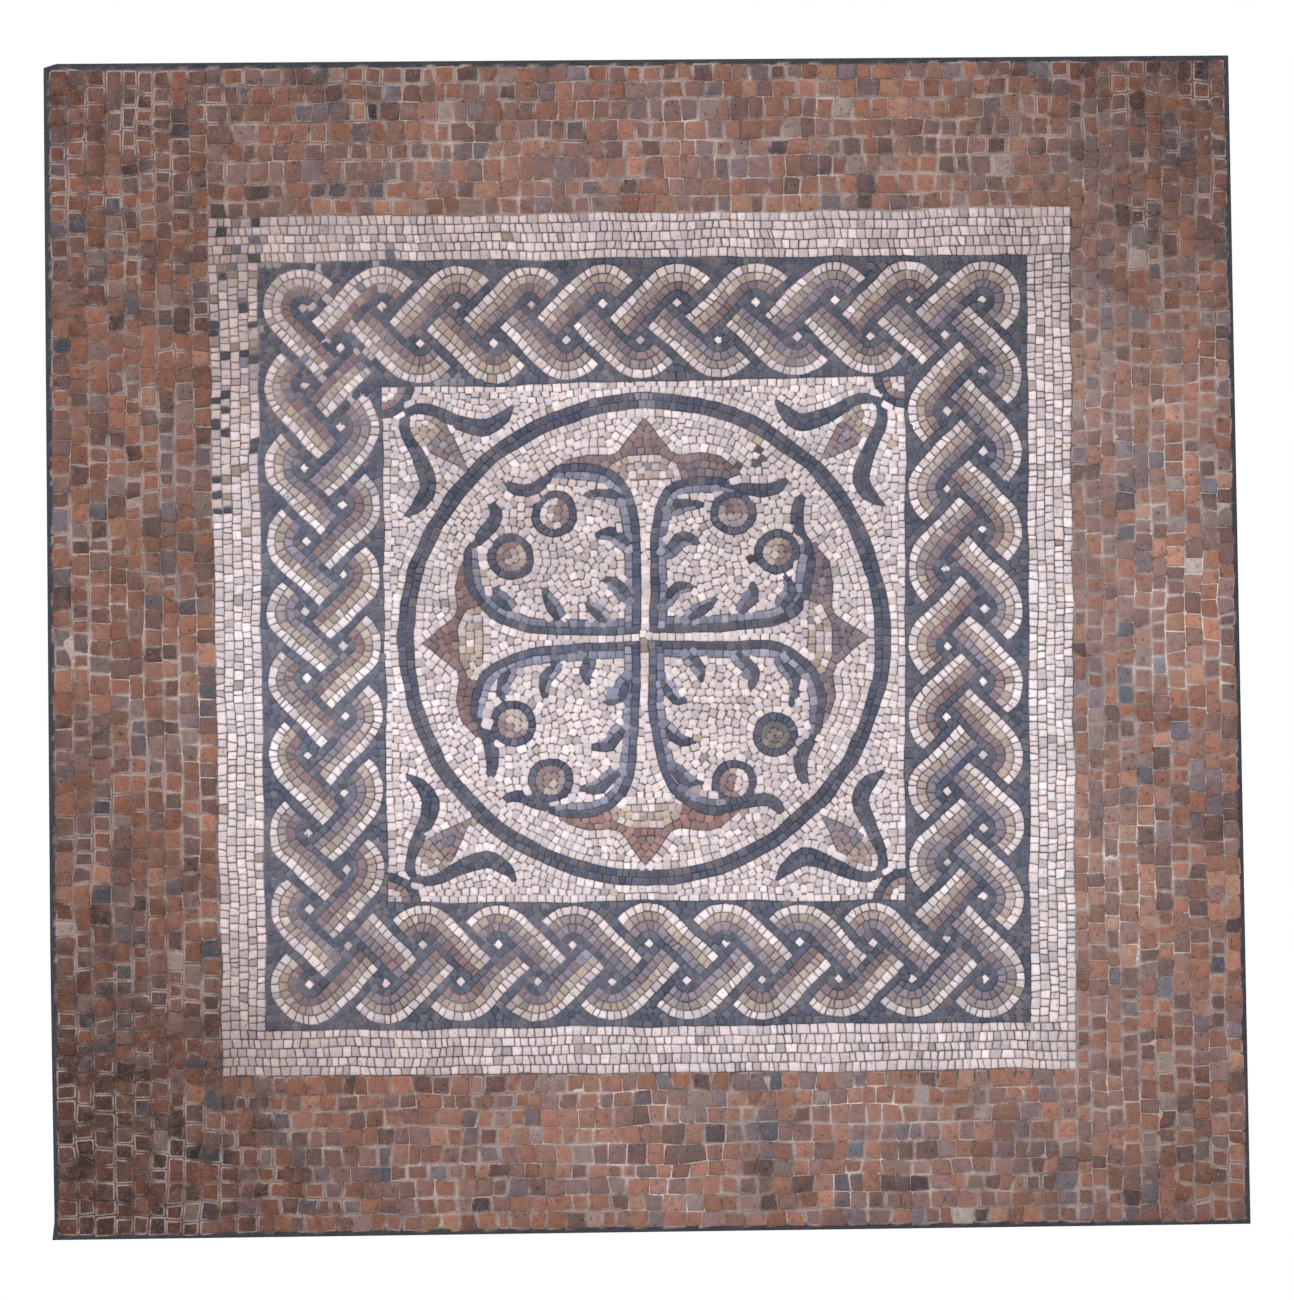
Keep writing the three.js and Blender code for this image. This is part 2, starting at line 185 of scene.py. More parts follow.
def resampled(points, step):
    seg = np.linalg.norm(np.diff(points, axis=0), axis=1)
    s = join([[0], np.cumsum(seg)])
    at = np.linspace(0, s[-1], max(2, int(round(s[-1] / step)) + 1))
    return np.stack([np.interp(at, s, points[:, i]) for i in range(2)], -1)


def spline(points, step=1.0):
    """A smooth path through a few points."""
    p = arr(points)
    p = join([[2 * p[0] - p[1]], p, [2 * p[-1] - p[-2]]])
    t = np.linspace(0, 1, 24, endpoint=False)[:, None]
    parts = []
    for a, b, c, d in zip(p, p[1:], p[2:], p[3:]):
        parts.append(0.5 * (2 * b + (c - a) * t + (2 * a - 5 * b + 4 * c - d) * t**2
                            + (3 * b - a - 3 * c + d) * t**3))
    return resampled(join(parts + [p[-2:-1]]), step)


def offset(path, by):
    """The path moved to the left of travel."""
    d = np.gradient(path, axis=0)
    d /= np.linalg.norm(d, axis=1, keepdims=True)
    normal = np.stack([-d[:, 1], d[:, 0]], -1)
    return path + normal * (np.asarray(by) * np.ones(len(path)))[:, None]


def strip(path, left, right):
    """The outline between two offsets of a path."""
    return join([offset(path, left), offset(path, right)[::-1]])


def tapered(path, widths):
    """The half-width at each point of a path whose control widths are evenly spaced."""
    return np.interp(np.linspace(0, 1, len(path)), np.linspace(0, 1, len(widths)), widths)


def cut_row(left, right, pitch, spread=0.2, skew=0.1):
    """Quads between two edge curves with the same number of points."""
    mid = (left + right) / 2
    s = join([[0], np.cumsum(np.linalg.norm(np.diff(mid, axis=0), axis=1))])
    count = max(1, int(round(s[-1] / pitch)))
    size = np.exp(rng.normal(0, spread, count))
    cuts = join([[0], np.cumsum(size)])
    cuts *= s[-1] / cuts[-1]
    lean = rng.normal(0, skew * pitch, count + 1)
    lean[[0, -1]] = 0
    lean = np.clip(lean, -0.25 * pitch, 0.25 * pitch)
    def at(edge, where):
        return np.stack([np.interp(where, s, edge[:, i]) for i in range(2)], -1)
    a, b = at(left, cuts + lean / 2), at(right, cuts - lean / 2)
    return np.stack([a[:-1], b[:-1], b[1:], a[1:]], 1)


# ---- guilloche
STRAND_OUT, STRAND_IN = 16.6, 18.8
INNER_EYE = PERIOD / 2 - 1.5
LEAD_POINTS, OUT_POINTS, POINTS_PER_RADIAN = 60, 8, 40


def strand(along, across, side, turn):
    """Centre line and outward normals of one visible length of strand, in the top band."""
    start = 5 * math.pi / 4
    def heading(angle):
        return np.stack([-np.sin(angle), np.cos(angle)], -1)
    ends = arr([start, start + turn])
    first, last = unit(ends[0]), unit(ends[1])
    bend = unit(np.linspace(ends[0], ends[1], int(turn * POINTS_PER_RADIAN))[1:-1])
    lead = first * TURN_RADIUS - heading(ends[0]) * np.linspace(RUN_IN, 0, LEAD_POINTS)[:, None]
    out = last * TURN_RADIUS + heading(ends[1]) * np.linspace(0, RUN_OUT, OUT_POINTS)[:, None]
    p = join([lead, bend * TURN_RADIUS, out])
    n = join([np.tile(first, (LEAD_POINTS, 1)), bend, np.tile(last, (OUT_POINTS, 1))])
    flip, to_panel = arr([1, side]), arr([1, -1])
    p = p * flip + arr([along, across])
    return p * to_panel + arr([-EYE_HALF, EYE_HALF]), n * flip * to_panel


# How far the eyes slipped along each side as the band was laid: at the ten outer eyes.
SLIPS = [[0, 4, 4, 2, -3, -3, 1, 4, 1, 0], [0, -3, 2, 5, 11, 9, 5, 0, -6, 0],
         [0, -2, -5, -4, -3, -1, -1, -1, -1, 0], [0, -1, 1, 6, 6, -4, -11, -12, -4, 0]]


def slipped(p, side):
    """Points of the top band moved along it, as they will lie once turned to their own side."""
    eyes = (np.arange(PERIODS + 1) - PERIODS / 2) * PERIOD
    p = p.copy()
    p[..., 0] += np.interp(p[..., 0], eyes, SLIPS[side])
    return p


def strands():
    quarter = math.pi / 2
    out = [strand(k * PERIOD, 0, 1, quarter) for k in range(1, PERIODS)]
    out.append(strand(PERIODS * PERIOD, 0, 1, math.pi))
    out += [strand((m + 0.5) * PERIOD, INNER_EYE, -1, quarter) for m in range(1, PERIODS - 1)]
    out.append(strand((PERIODS - 0.5) * PERIOD, INNER_EYE, -1, 0))
    return [(turned(slipped(p, k), k), turned(n, k)) for k in range(4) for p, n in out]


# ---- zones that relaxed stones fill
SIZE = 520.0  # half-side of the raster
zone_shapes = []  # (zone, polygon), later ones win; zone 0 holds stones laid in rows
guides = []  # paths that stones line up with
zone_info = {}  # zone id: (piece, palette or function, pitch)


def inside(poly, x, y):
    hit = np.zeros(x.shape, bool)
    for (x0, y0), (x1, y1) in zip(np.roll(poly, 1, 0), poly):
        if y0 != y1:
            hit ^= ((y0 > y) != (y1 > y)) & (x < (x1 - x0) * (y - y0) / (y1 - y0) + x0)
    return hit


def paint(zone, poly, guide=True):
    poly = arr(poly)
    zone_shapes.append((zone, poly))
    if guide:
        guides.append(closed(poly))


def disc(centre, radius, count=72):
    return arr(centre) + radius * unit(np.arange(count) * TAU / count)


def square(half):
    return arr([(-half, half), (half, half), (half, -half), (-half, -half)])


def new_zone(piece, palette, pitch):
    zone_info[len(zone_info) + 1] = (piece, palette, pitch)
    return len(zone_info)


def rasterised(res):
    n = int(round(2 * SIZE / res))
    grid = np.zeros((n, n), np.int16)
    centre = (np.arange(n) + 0.5) * res - SIZE
    for zone, poly in zone_shapes:
        lo = np.clip(((poly.min(0) + SIZE) / res).astype(int) - 1, 0, n)
        hi = np.clip(((poly.max(0) + SIZE) / res).astype(int) + 2, 0, n)
        x, y = np.meshgrid(centre[lo[0]:hi[0]], centre[lo[1]:hi[1]])
        part = grid[lo[1]:hi[1], lo[0]:hi[0]]
        part[inside(poly, x, y)] = zone
    return grid


def nearest_stone(seed, zone, angle, grid, res, reach):
    """For each pixel of the raster the stone whose square is nearest, within its own zone."""
    n = grid.shape[0]
    r = int(round(reach / res))
    pad = r + 1
    wide = n + 2 * pad
    zones = np.zeros((wide, wide), np.int16)
    zones[pad:-pad, pad:-pad] = grid
    zones = zones.ravel()
    best = np.full(wide * wide, 1e9, np.float32)
    label = np.full(wide * wide, -1, np.int32)
    off = np.arange(-r, r + 1)
    oy, ox = (g.ravel() for g in np.meshgrid(off, off, indexing="ij"))
    pix = (seed + SIZE) / res
    cell = np.clip(np.floor(pix).astype(int), 0, n - 1)
    frac = cell + 0.5 - pix
    cos, sin = np.cos(angle), np.sin(angle)
    # Stones whose windows can't overlap are handled together: one per block, every other block.
    block = 2 * r + 1
    bx, by = cell[:, 0] // block, cell[:, 1] // block
    key = by * 10000 + bx
    order = np.argsort(key, kind="stable")
    sorted_key = key[order]
    first = join([[True], sorted_key[1:] != sorted_key[:-1]])
    start = np.maximum.accumulate(np.where(first, np.arange(len(order)), 0))
    rank = np.empty(len(order), int)
    rank[order] = np.arange(len(order)) - start
    group = (bx % 2) + 2 * (by % 2) + 4 * rank
    for g in np.unique(group):
        ids = np.nonzero(group == g)[0]
        cy, cx = (cell[ids, 1] + pad)[:, None], (cell[ids, 0] + pad)[:, None]
        index = cy * wide + cx + oy * wide + ox
        dx = (frac[ids, 0][:, None] + ox).astype(np.float32)
        dy = (frac[ids, 1][:, None] + oy).astype(np.float32)
        c, s = cos[ids][:, None], sin[ids][:, None]
        d = np.maximum(np.abs(dx * c + dy * s), np.abs(dy * c - dx * s)).astype(np.float32)
        near = (d < best[index]) & (zones[index] == zone[ids][:, None])
        where = index[near]
        best[where] = d[near]
        label[where] = np.broadcast_to(ids[:, None], near.shape)[near]
    return label.reshape(wide, wide)[pad:-pad, pad:-pad]


def kd_tree(points):
    tree = KDTree(len(points))
    for i, (x, y) in enumerate(points):
        tree.insert((x, y, 0), i)
    tree.balance()
    return tree


def guide_tree():
    points, angles = [], []
    for path in guides:
        p = resampled(path, 2.5)
        d = np.diff(p, axis=0)
        points.append((p[1:] + p[:-1]) / 2)
        angles.append(np.arctan2(d[:, 1], d[:, 0]))
    return kd_tree(join(points)), join(angles)


COARSE, FINE = 1.0, 0.5  # mm per pixel while the stones settle, and for their outlines
JITTER = 0.8
STEPS, QUICK_STEPS, ALIGN_EVERY = 26, 9, 3
LEAST_PIXELS, LEAST_AREA = 12, 14  # smaller stones are dropped, while settling and at the end


def seeds(grid):
    """Evenly spread starts: a zone's pixels are visited in blocks the size of a stone."""
    places, zones = [], []
    for zone, (_, _, pitch) in zone_info.items():
        ys, xs = np.nonzero(grid == zone)
        if not len(xs):
            continue
        count = max(1, int(round(len(xs) * COARSE * COARSE / pitch**2)))
        key = (ys // pitch).astype(int) * 1000 + (xs // pitch).astype(int)
        order = np.lexsort((xs, ys, key))
        take = order[((np.arange(count) + 0.5) * len(xs) / count).astype(int)]
        start = np.stack([xs[take] + 0.5, ys[take] + 0.5], -1) * COARSE - SIZE
        places.append(start + rng.normal(0, JITTER, start.shape))
        zones.append(np.full(count, zone))
    return join(places), join(zones)


def relaxed_stones():
    """Fills every zone with squarish stones that line up with the nearest edge."""
    grid = rasterised(COARSE)
    tree, guide_angle = guide_tree()
    seed, zone = seeds(grid)
    steps = STEPS
    y, x = np.mgrid[0:grid.shape[0], 0:grid.shape[0]]
    px, py = (x + 0.5) * COARSE - SIZE, (y + 0.5) * COARSE - SIZE
    angle = np.zeros(len(seed))
    for step in range(steps):
        if step % ALIGN_EVERY == 0 or step == steps - 1:
            near = [tree.find((a, b, 0))[1] for a, b in seed]
            angle = guide_angle[near]
        label = nearest_stone(seed, zone, angle, grid, COARSE, 14)
        on = label >= 0
        flat = label[on]
        area = np.bincount(flat, minlength=len(seed))
        cx = np.bincount(flat, px[on], len(seed)) / np.maximum(area, 1)
        cy = np.bincount(flat, py[on], len(seed)) / np.maximum(area, 1)
        alive = area > LEAST_PIXELS
        seed = np.where(alive[:, None], np.stack([cx, cy], -1), seed)
        if not alive.all():
            seed, zone, angle = seed[alive], zone[alive], angle[alive]
    label = nearest_stone(seed, zone, angle, rasterised(FINE), FINE, 12)
    ys, xs = np.nonzero(label >= 0)
    owner = label[ys, xs]
    order = np.argsort(owner, kind="stable")
    owner, xs, ys = owner[order], xs[order], ys[order]
    first = np.nonzero(join([[True], owner[1:] != owner[:-1]]))[0]
    ids = owner[first]
    qx = (xs + 0.5) * FINE - SIZE - seed[owner, 0]
    qy = (ys + 0.5) * FINE - SIZE - seed[owner, 1]
    area = np.diff(join([first, [len(owner)]])) * FINE * FINE
    reach = np.empty((len(ids), 8))
    for k in range(8):
        a = angle[owner] + k * TAU / 8
        reach[:, k] = np.maximum.reduceat(qx * np.cos(a) + qy * np.sin(a), first) + FINE / 2
    poly = eight_sided(reach, angle[ids]) + seed[ids][:, None, :]
    # An outline that came out larger than its pixels is drawn in, so that joints stay open.
    shrink = np.sqrt(np.clip(area / polygon_area(poly), 0.80, 1.0))
    shrink = np.where(shrink > 0.94, 1.0, shrink + 0.03)
    poly = seed[ids][:, None, :] + (poly - seed[ids][:, None, :]) * shrink[:, None, None]
    keep = area > LEAST_AREA
    return poly[keep], zone[ids][keep]


SHALLOW_CORNER, LEAST_CUT, LEAST_REACH = 0.81, 0.7, 0.4


def eight_sided(reach, angle):
    """Polygons from their reach in eight directions, each corner cut by at least a little."""
    def square_corner(reach):
        return (np.roll(reach, 1, 1) + np.roll(reach, -1, 1)) / math.sqrt(2)
    reach = reach.copy()
    reach[:, 1::2] = np.maximum(reach, SHALLOW_CORNER * square_corner(reach))[:, 1::2]
    for _ in range(6):
        reach = np.minimum(reach, np.maximum(square_corner(reach) - LEAST_CUT, LEAST_REACH))
    a0 = angle[:, None] + np.arange(8) * TAU / 8
    a1 = a0 + TAU / 8
    h0, h1 = reach, np.roll(reach, -1, 1)
    det = math.sin(TAU / 8)
    x = (h0 * np.sin(a1) - h1 * np.sin(a0)) / det
    y = (h1 * np.cos(a0) - h0 * np.cos(a1)) / det
    return np.stack([x, y], -1)


def polygon_area(poly):
    a, b = poly, np.roll(poly, -1, 1)
    return 0.5 * (a[..., 0] * b[..., 1] - a[..., 1] * b[..., 0]).sum(1)


# ---- laying the design
def kind_of(palette):
    return {"white": "fine", "tile": "tile"}.get(palette, "close")


def lay_row(piece, left, right, pitch, palette, tone=1.0, turns=0, **how):
    quads = turned(cut_row(left, right, pitch, **how), turns)
    add_stones(piece, quads, from_palette(palette, len(quads)) * tone, kind_of(palette))


def two_toned(first, a, b, tone_a=1.0, tone_b=1.0):
    """Colours from one palette where first is true, and from another elsewhere."""
    return np.where(first[:, None], from_palette(a, len(first)) * tone_a,
                    from_palette(b, len(first)) * tone_b)


# From the outer to the inner row.
STRAND_TONES = arr([(0.985, 0.985, 0.985), (0.92, 0.91, 0.91), (0.92, 0.92, 0.94)])
STRAND_MIXES = [("purple", "buff"), ("brown", "buff"), ("purple", "taupe"), ("russet", "buff"),
                ("brown", "taupe")]
REPAIRED_CORNER, REPAIRED_WITHIN = arr([-EYE_HALF, EYE_HALF]), 45
EYE = 7.4


def ground_slate(at):
    """The dark ground of the guilloche, greyer and paler towards the lower left."""
    paler = 1.06 - 0.05 * np.clip((at[:, :1] + 0.7 * at[:, 1:]) / 500, -1, 1)
    return from_palette("slate", len(at)) * paler * arr((1.01, 1.0, 0.975))


def lay_guilloche():
    paint(new_zone("guilloche_ground_stones", ground_slate, 9.9), square(BAND_HALF))
    paint(0, square(FIELD_HALF))
    piece = "guilloche_strand_stones"
    width = (STRAND_OUT + STRAND_IN) / 3
    for p, n in strands():
        edges = [p + n * (STRAND_OUT - width * i) for i in range(4)]
        paint(0, join([edges[0], edges[3][::-1]]))
        inner, middle = STRAND_MIXES[rng.integers(len(STRAND_MIXES))]
        rows = ["white", middle, inner]
        if np.linalg.norm(p - REPAIRED_CORNER, axis=1).min() < REPAIRED_WITHIN:
            rows = ["white", "white", "russet"]
        for a, b, name, tone in zip(edges, edges[1:], rows, STRAND_TONES):
            lay_row(piece, a, b, 10.4, name, tone)
    eyes = [(k * PERIOD - EYE_HALF, EYE_HALF) for k in range(PERIODS)]
    eyes += [((m + 0.5) * PERIOD - EYE_HALF, EYE_HALF - INNER_EYE) for m in range(1, PERIODS)]
    diamond = arr([(0, EYE), (EYE, 0), (0, -EYE), (-EYE, 0)])
    for k in range(4):
        for eye in eyes:
            quad = turned(slipped(arr(eye), k) + diamond, k)
            paint(0, quad)
            add_stones(piece, quad[None], from_palette("white", 1), "fine")


# Two lobes to a leaf. Each is the middle line of its dark row, which its thick tip carries on,
# the scroll beside it, and its three barbs. All leaves are given as if at the top right.
LOBES = {
    "top_right": [
        ([(7.5, 16), (60, 16.5), (100, 17.7), (140, 20), (165, 21.5), (182, 26), (200, 35.4),
         (212, 50), (219, 66), (222, 91), (223, 110), (218, 128), (210, 140)],
         [(205.6, 152), (205.5, 170), (208, 184), (214, 191)], (179, 118.5),
         [[(190, 47), (201, 66), (189, 88)], [(136, 40), (149, 57), (144, 76)],
          [(64, 31), (80, 42), (96, 58)]]),
        ([(12.8, 11), (12.8, 60), (13.3, 100), (15, 140), (16.5, 159), (20.3, 177), (27, 193),
         (37, 206), (50, 213), (68, 216), (94, 215), (113, 211), (128, 207)],
         [(143, 203.5), (158, 201.5), (173, 202.5), (184, 208), (189, 217)], (119.5, 171.7),
         [[(38, 180), (53, 187), (79, 182)], [(32, 123), (50, 139), (73, 131)],
          [(27, 58), (42, 73), (65, 71)]]),
    ],
    "bottom_right": [
        ([(5.5, 4.6), (60, 5), (100, 5.6), (160, 7.2), (176, 9), (189, 13.6), (204, 22.8),
         (219, 36.5), (229, 52), (234.7, 69), (236.6, 86), (235, 104.5), (232, 119), (225, 134)],
         [(216, 146), (209.5, 160), (209.5, 175), (213, 186), (218, 195)], (175.5, 127.5),
         [[(190, 32), (205, 57), (194, 88)], [(130, 22), (148, 43), (143, 68)],
          [(63, 20), (75, 34), (76, 55)]]),
        ([(10.5, 1), (10.5, 60), (11.2, 99), (12.4, 116), (15, 134), (18.5, 153), (24.6, 172),
         (34, 191), (44, 206), (55.6, 217), (68.6, 225), (83.6, 229), (98.6, 229), (113.6, 225.7),
         (126, 221.5)],
         [(139.7, 218), (154.7, 214.7), (167.8, 216.5), (179, 224), (186, 233)], (119.5, 192.5),
         [[(38, 176), (54, 190), (76, 190)], [(27, 121), (44, 136), (69, 135)],
          [(27, 60), (41, 79), (59, 79)]]),
    ],
    "bottom_left": [
        ([(7.5, 5), (60, 6.4), (100, 9), (140, 12.6), (163, 16.5), (182, 21.5), (200, 29.6),
         (212, 38), (219.5, 47.6), (225, 60.8), (229, 76), (230, 91), (226, 106)],
         [(219, 118), (212, 129), (207.5, 143), (206.5, 158), (207, 170), (211, 180)], (179, 108.8),
         [[(187, 40), (197, 60), (190, 80)], [(126, 33), (137, 54), (135, 77)],
          [(79, 25), (81, 43), (77, 59)]]),
        ([(12.6, 1), (13, 60), (14.5, 100), (16, 120), (18, 139), (19.5, 157), (22, 176), (27, 191),
         (35.6, 206), (47, 217), (62, 226), (77, 231), (96, 233), (114.7, 231), (131.6, 225.5)],
         [(146.6, 218), (159.8, 212.6), (171, 208.7), (182, 208.5), (194, 213)], (129.5, 186),
         [[(44, 183), (65, 197), (90, 197)], [(35, 125), (48, 142), (72, 142)],
          [(25, 57), (36, 78), (56, 84)]]),
    ],
    "top_left": [
        ([(6.5, 16), (60, 16), (102, 16.4), (141, 16.2), (160, 19), (179, 26), (194, 32.6),
         (209, 43), (220, 54.5), (229.6, 67), (235, 80), (237, 97), (237, 110), (234, 123.6),
         (226, 137)],
         [(216, 148), (207, 158), (201, 169), (200.5, 178), (206, 189)], (180, 118.5),
         [[(187, 49), (200, 64), (199, 78)], [(121, 38), (130.7, 55.6), (135, 75)],
          [(60, 33), (73, 48), (77, 61)]]),
        ([(11.5, 11), (11.5, 60), (12, 110), (12.8, 140), (14, 165), (16, 180), (20.5, 195.6),
         (26, 207), (33.6, 216), (45, 225), (60, 232), (76.6, 235.7), (91.6, 237), (106.6, 235.5),
         (118, 232.7), (127, 226)],
         [(136.4, 217.6), (147.6, 208.8), (160.8, 205.8), (172, 207.4), (183, 213),
          (189, 218)], (119.6, 173.5),
         [[(34, 196), (54.7, 201), (79, 198)], [(27, 135), (43.6, 148), (67, 142)],
          [(26, 65), (39, 80), (56, 85)]]),
    ],
}
TIP_WIDTHS = [5.6, 7.6, 8.6, 9.0, 8.6, 8.0, 7.0, 4.5]
BARB_WIDTHS, BARB_BLUE_WIDTHS = [3, 4.5, 6, 6, 5.2, 3], [12, 13.5, 13, 11, 7, 3]
ROW_HALF, BLUE_FROM, BLUE_WIDTH, BLUE_TAPER = 5.4, 5.3, 10.6, 34
SCROLL_OUTER, SCROLL_INNER, SCROLL_POINTS = 30.5, 20.5, 120
SCROLL_HALVES = [("taupe", "brown"), ("taupe", "russet"), ("buff", "brown"), ("white", "brown")]
WING = [(0, 303), (35, 256), (48, 252), (78, 255), (104, 248), (132, 224), (95, 212), (56, 208),
        (46, 240), (22, 252)]
BASE = [(22, 254), (58, 238), (66, 228), (48, 221), (24, 219)]
TENDRIL = [(324, 176), (304, 192), (292, 215), (302, 250), (317, 281), (321, 301),
           (316.5, 316.5), (305, 321)]
TENDRIL_WIDTHS = [0.5, 8.5, 11, 11, 9.8, 8.2, 6.8, 6.2, 6.0]
# Along the diagonal from the centre, and across it.
BUD = [(334, 0), (397, 23), (397, -23)]
CUP = [(397, 23), (418, 24), (434, 19), (443, 8), (443, -8), (434, -19), (418, -24), (397, -23)]
CORNER_RING = (37 + 5.3, 37 - 5.3, 37 - 16)
# How much paler the dark row of each lobe is than the darkest, away from its tip.
ROW_TONES = {"top_right": (1.0, 1.0), "bottom_right": (1.0, 1.12), "bottom_left": (1.12, 1.12),
             "top_left": (1.13, 1.10)}


def symmetric(half):
    right = arr(half)
    left = right[right[:, 0] > 0][::-1] * arr([-1, 1])
    return join([right, left])


def lay_leaf(where, sign, ground):
    piece = "acanthus_leaf_stones_" + where
    lower, upper = LOBES[where]
    paint(ground, join([spline(lower[0]), spline(upper[0])[::-1]]) * sign, guide=False)
    # The stem is to the left of travel on one lobe of each pair and to the right on the other.
    for side, (dark, tip, _, barbs), paler in zip((1, -1), LOBES[where], ROW_TONES[where]):
        row, tip = spline(dark), spline([dark[-1], *tip])
        inner = row[5:]
        taper = np.clip((len(inner) - 1 - np.arange(len(inner))) / BLUE_TAPER, 0.0, 1)
        blue = new_zone(piece, "blue", 10.3)
        paint(blue, strip(inner, 0, side * (BLUE_FROM + BLUE_WIDTH * taper)) * sign)
        for barb in barbs:
            root = arr(barb[0]) + 0.4 * (arr(barb[0]) - arr(barb[1]))
            line = spline([root, *barb])
            half = tapered(line, BARB_WIDTHS)
            paint(blue, strip(line, 0, side * tapered(line, BARB_BLUE_WIDTHS)) * sign)
            paint(new_zone(piece, "slate", 9.6), strip(line, side * half, -side * half) * sign)
        def row_slate(at, tone=paler):
            near = np.clip((212 - square_reach(at)[:, None]) / 25, 0, 1)
            return from_palette("slate", len(at)) * (1 + (tone - 1) * near)
        zone = new_zone(piece, row_slate, 10.2)
        paint(zone, strip(row, ROW_HALF, -ROW_HALF) * sign)
        half = tapered(tip, TIP_WIDTHS)
        paint(zone, strip(tip, half, -half) * sign)


def lay_scroll(piece, centre, halves, tilt):
    roll = int(rng.integers(SCROLL_POINTS))
    ring_out, ring_in = (np.roll(disc(centre, radius, SCROLL_POINTS), roll, 0)
                         for radius in (SCROLL_OUTER, SCROLL_INNER))
    lay_row(piece, closed(ring_out), closed(ring_in), 9.6, "slate", 1.08)
    paint(0, ring_out)
    def palette(at):
        side = (at - centre) @ arr([math.cos(tilt), math.sin(tilt)])
        return two_toned(side > rng.normal(0, 2.5, len(at)), *halves)
    paint(new_zone(piece, palette, 9.6), ring_in)


RING_CENTRE, RING_AT, RING_ROW = (-1.0, 2.5), 322.0, 10
# The four points were cut from different browns.
POINT_TONES = {"top": (0.94, 0.94, 0.94), "right": (0.91, 0.94, 0.99),
               "bottom": (1.04, 0.95, 0.91), "left": (0.94, 0.88, 0.86)}


def flecked(at):
    """Buff stones with white and grey ones among them."""
    n = len(at)
    kind = rng.random(n)[:, None]
    white, taupe, buff = (from_palette(name, n) for name in ("white", "taupe", "buff"))
    return np.where(kind < 0.38, white * 0.97,
                    np.where(kind < 0.5, taupe, buff * arr((0.97, 0.95, 0.93))))


def lay_medallion():
    ground = new_zone("medallion_ground_stones", "white", 10.6)
    paint(new_zone("corner_ground_stones", "white", 10.4), square(FIELD_HALF))
    paint(0, disc(RING_CENTRE, RING_AT + RING_ROW, 240))
    paint(ground, disc(RING_CENTRE, RING_AT - RING_ROW, 240))
    edges = [closed(disc(RING_CENTRE, RING_AT + by, 720)) for by in (RING_ROW, 0, -RING_ROW)]
    for a, b in zip(edges, edges[1:]):
        lay_row("medallion_ring_stones", a, b, 10.8, "slate", 1.03)
    for k, side in enumerate(SIDES):
        paint(new_zone("buff_base_stones_" + side, flecked, 10.4), turned(symmetric(BASE), k))
        def point(at, tone=POINT_TONES[side]):
            return from_palette("brown", len(at)) * arr(tone)
        paint(new_zone("brown_point_stones_" + side, point, 10.4), turned(symmetric(WING), k))
    for where, sign in QUADRANTS.items():
        sign = arr(sign)
        lay_leaf(where, sign, ground)
        for which, (_, _, centre, _) in zip(("lower", "upper"), LOBES[where]):
            halves = SCROLL_HALVES[rng.integers(len(SCROLL_HALVES))]
            if (where, which) == ("bottom_right", "lower"):
                halves = ("dun", "dun")
            lay_scroll("scroll_stones_%s_%s" % (where, which), arr(centre) * sign, halves,
                       rng.uniform(0, TAU))
        lay_corner(where, sign)


def lay_corner(where, sign):
    root2 = math.sqrt(2)
    def diagonal(points):
        return [arr([(along + across) / root2, (along - across) / root2]) * sign
                for along, across in points]
    def bud(at):
        across = (at @ (sign * arr([1, -1]))) / root2
        return two_toned(across > rng.normal(-6, 4, len(at)), "purple", "brown", 0.96, 0.98)
    def cup(at):
        along = (at @ sign) / root2
        return two_toned(along > 420 + rng.normal(0, 4, len(at)), "white", "buff",
                         tone_b=arr((0.94, 0.915, 0.91)))
    paint(new_zone("corner_bud_stones_" + where, bud, 10.0), diagonal(BUD))
    paint(new_zone("bud_cup_stones_" + where, cup, 9.6), diagonal(CUP))
    tendril, spot = "corner_tendril_stones_" + where, "corner_spot_stones_" + where
    line = spline(TENDRIL)
    half = tapered(line, TENDRIL_WIDTHS)
    for path in (line, line[:, ::-1]):
        paint(new_zone(tendril, "slate", 9.6), strip(path * sign, half, -half))
    corner = arr([FIELD_HALF, FIELD_HALF]) * sign
    arc = unit(np.linspace(0, math.pi / 2, 60)) * -sign
    edges = [corner + arc * radius for radius in CORNER_RING]
    paint(0, join([edges[0], [corner]]))
    lay_row(tendril, edges[0], edges[1], 9.6, "slate")
    lay_row(spot, edges[1], edges[2], 9.4, "russet")
    paint(new_zone(spot, "white", 9.6), join([edges[2], [corner]]), guide=False)


WHITE_ROWS = 5


def lay_white_border():
    depth = (WHITE_HALF - BAND_HALF) / WHITE_ROWS
    for k in range(4):
        half = WHITE_HALF if k % 2 == 0 else BAND_HALF  # top and bottom take in the corners
        u = np.linspace(-half, half, ROW_POINTS)
        for i in range(WHITE_ROWS):
            low, high = (np.stack([u, np.full(ROW_POINTS, BAND_HALF + depth * j)], -1)
                         for j in (i, i + 1))
            lay_row("white_border_stones", low, high, 11.0, "white", turns=k)


RED_ROWS = {"left": 9, "right": 10, "top": 8, "bottom": 9}
RED_WAVE, RED_EDGE_WAVE = 1.6, 0.25  # how far the lines between rows wander, and the two edges


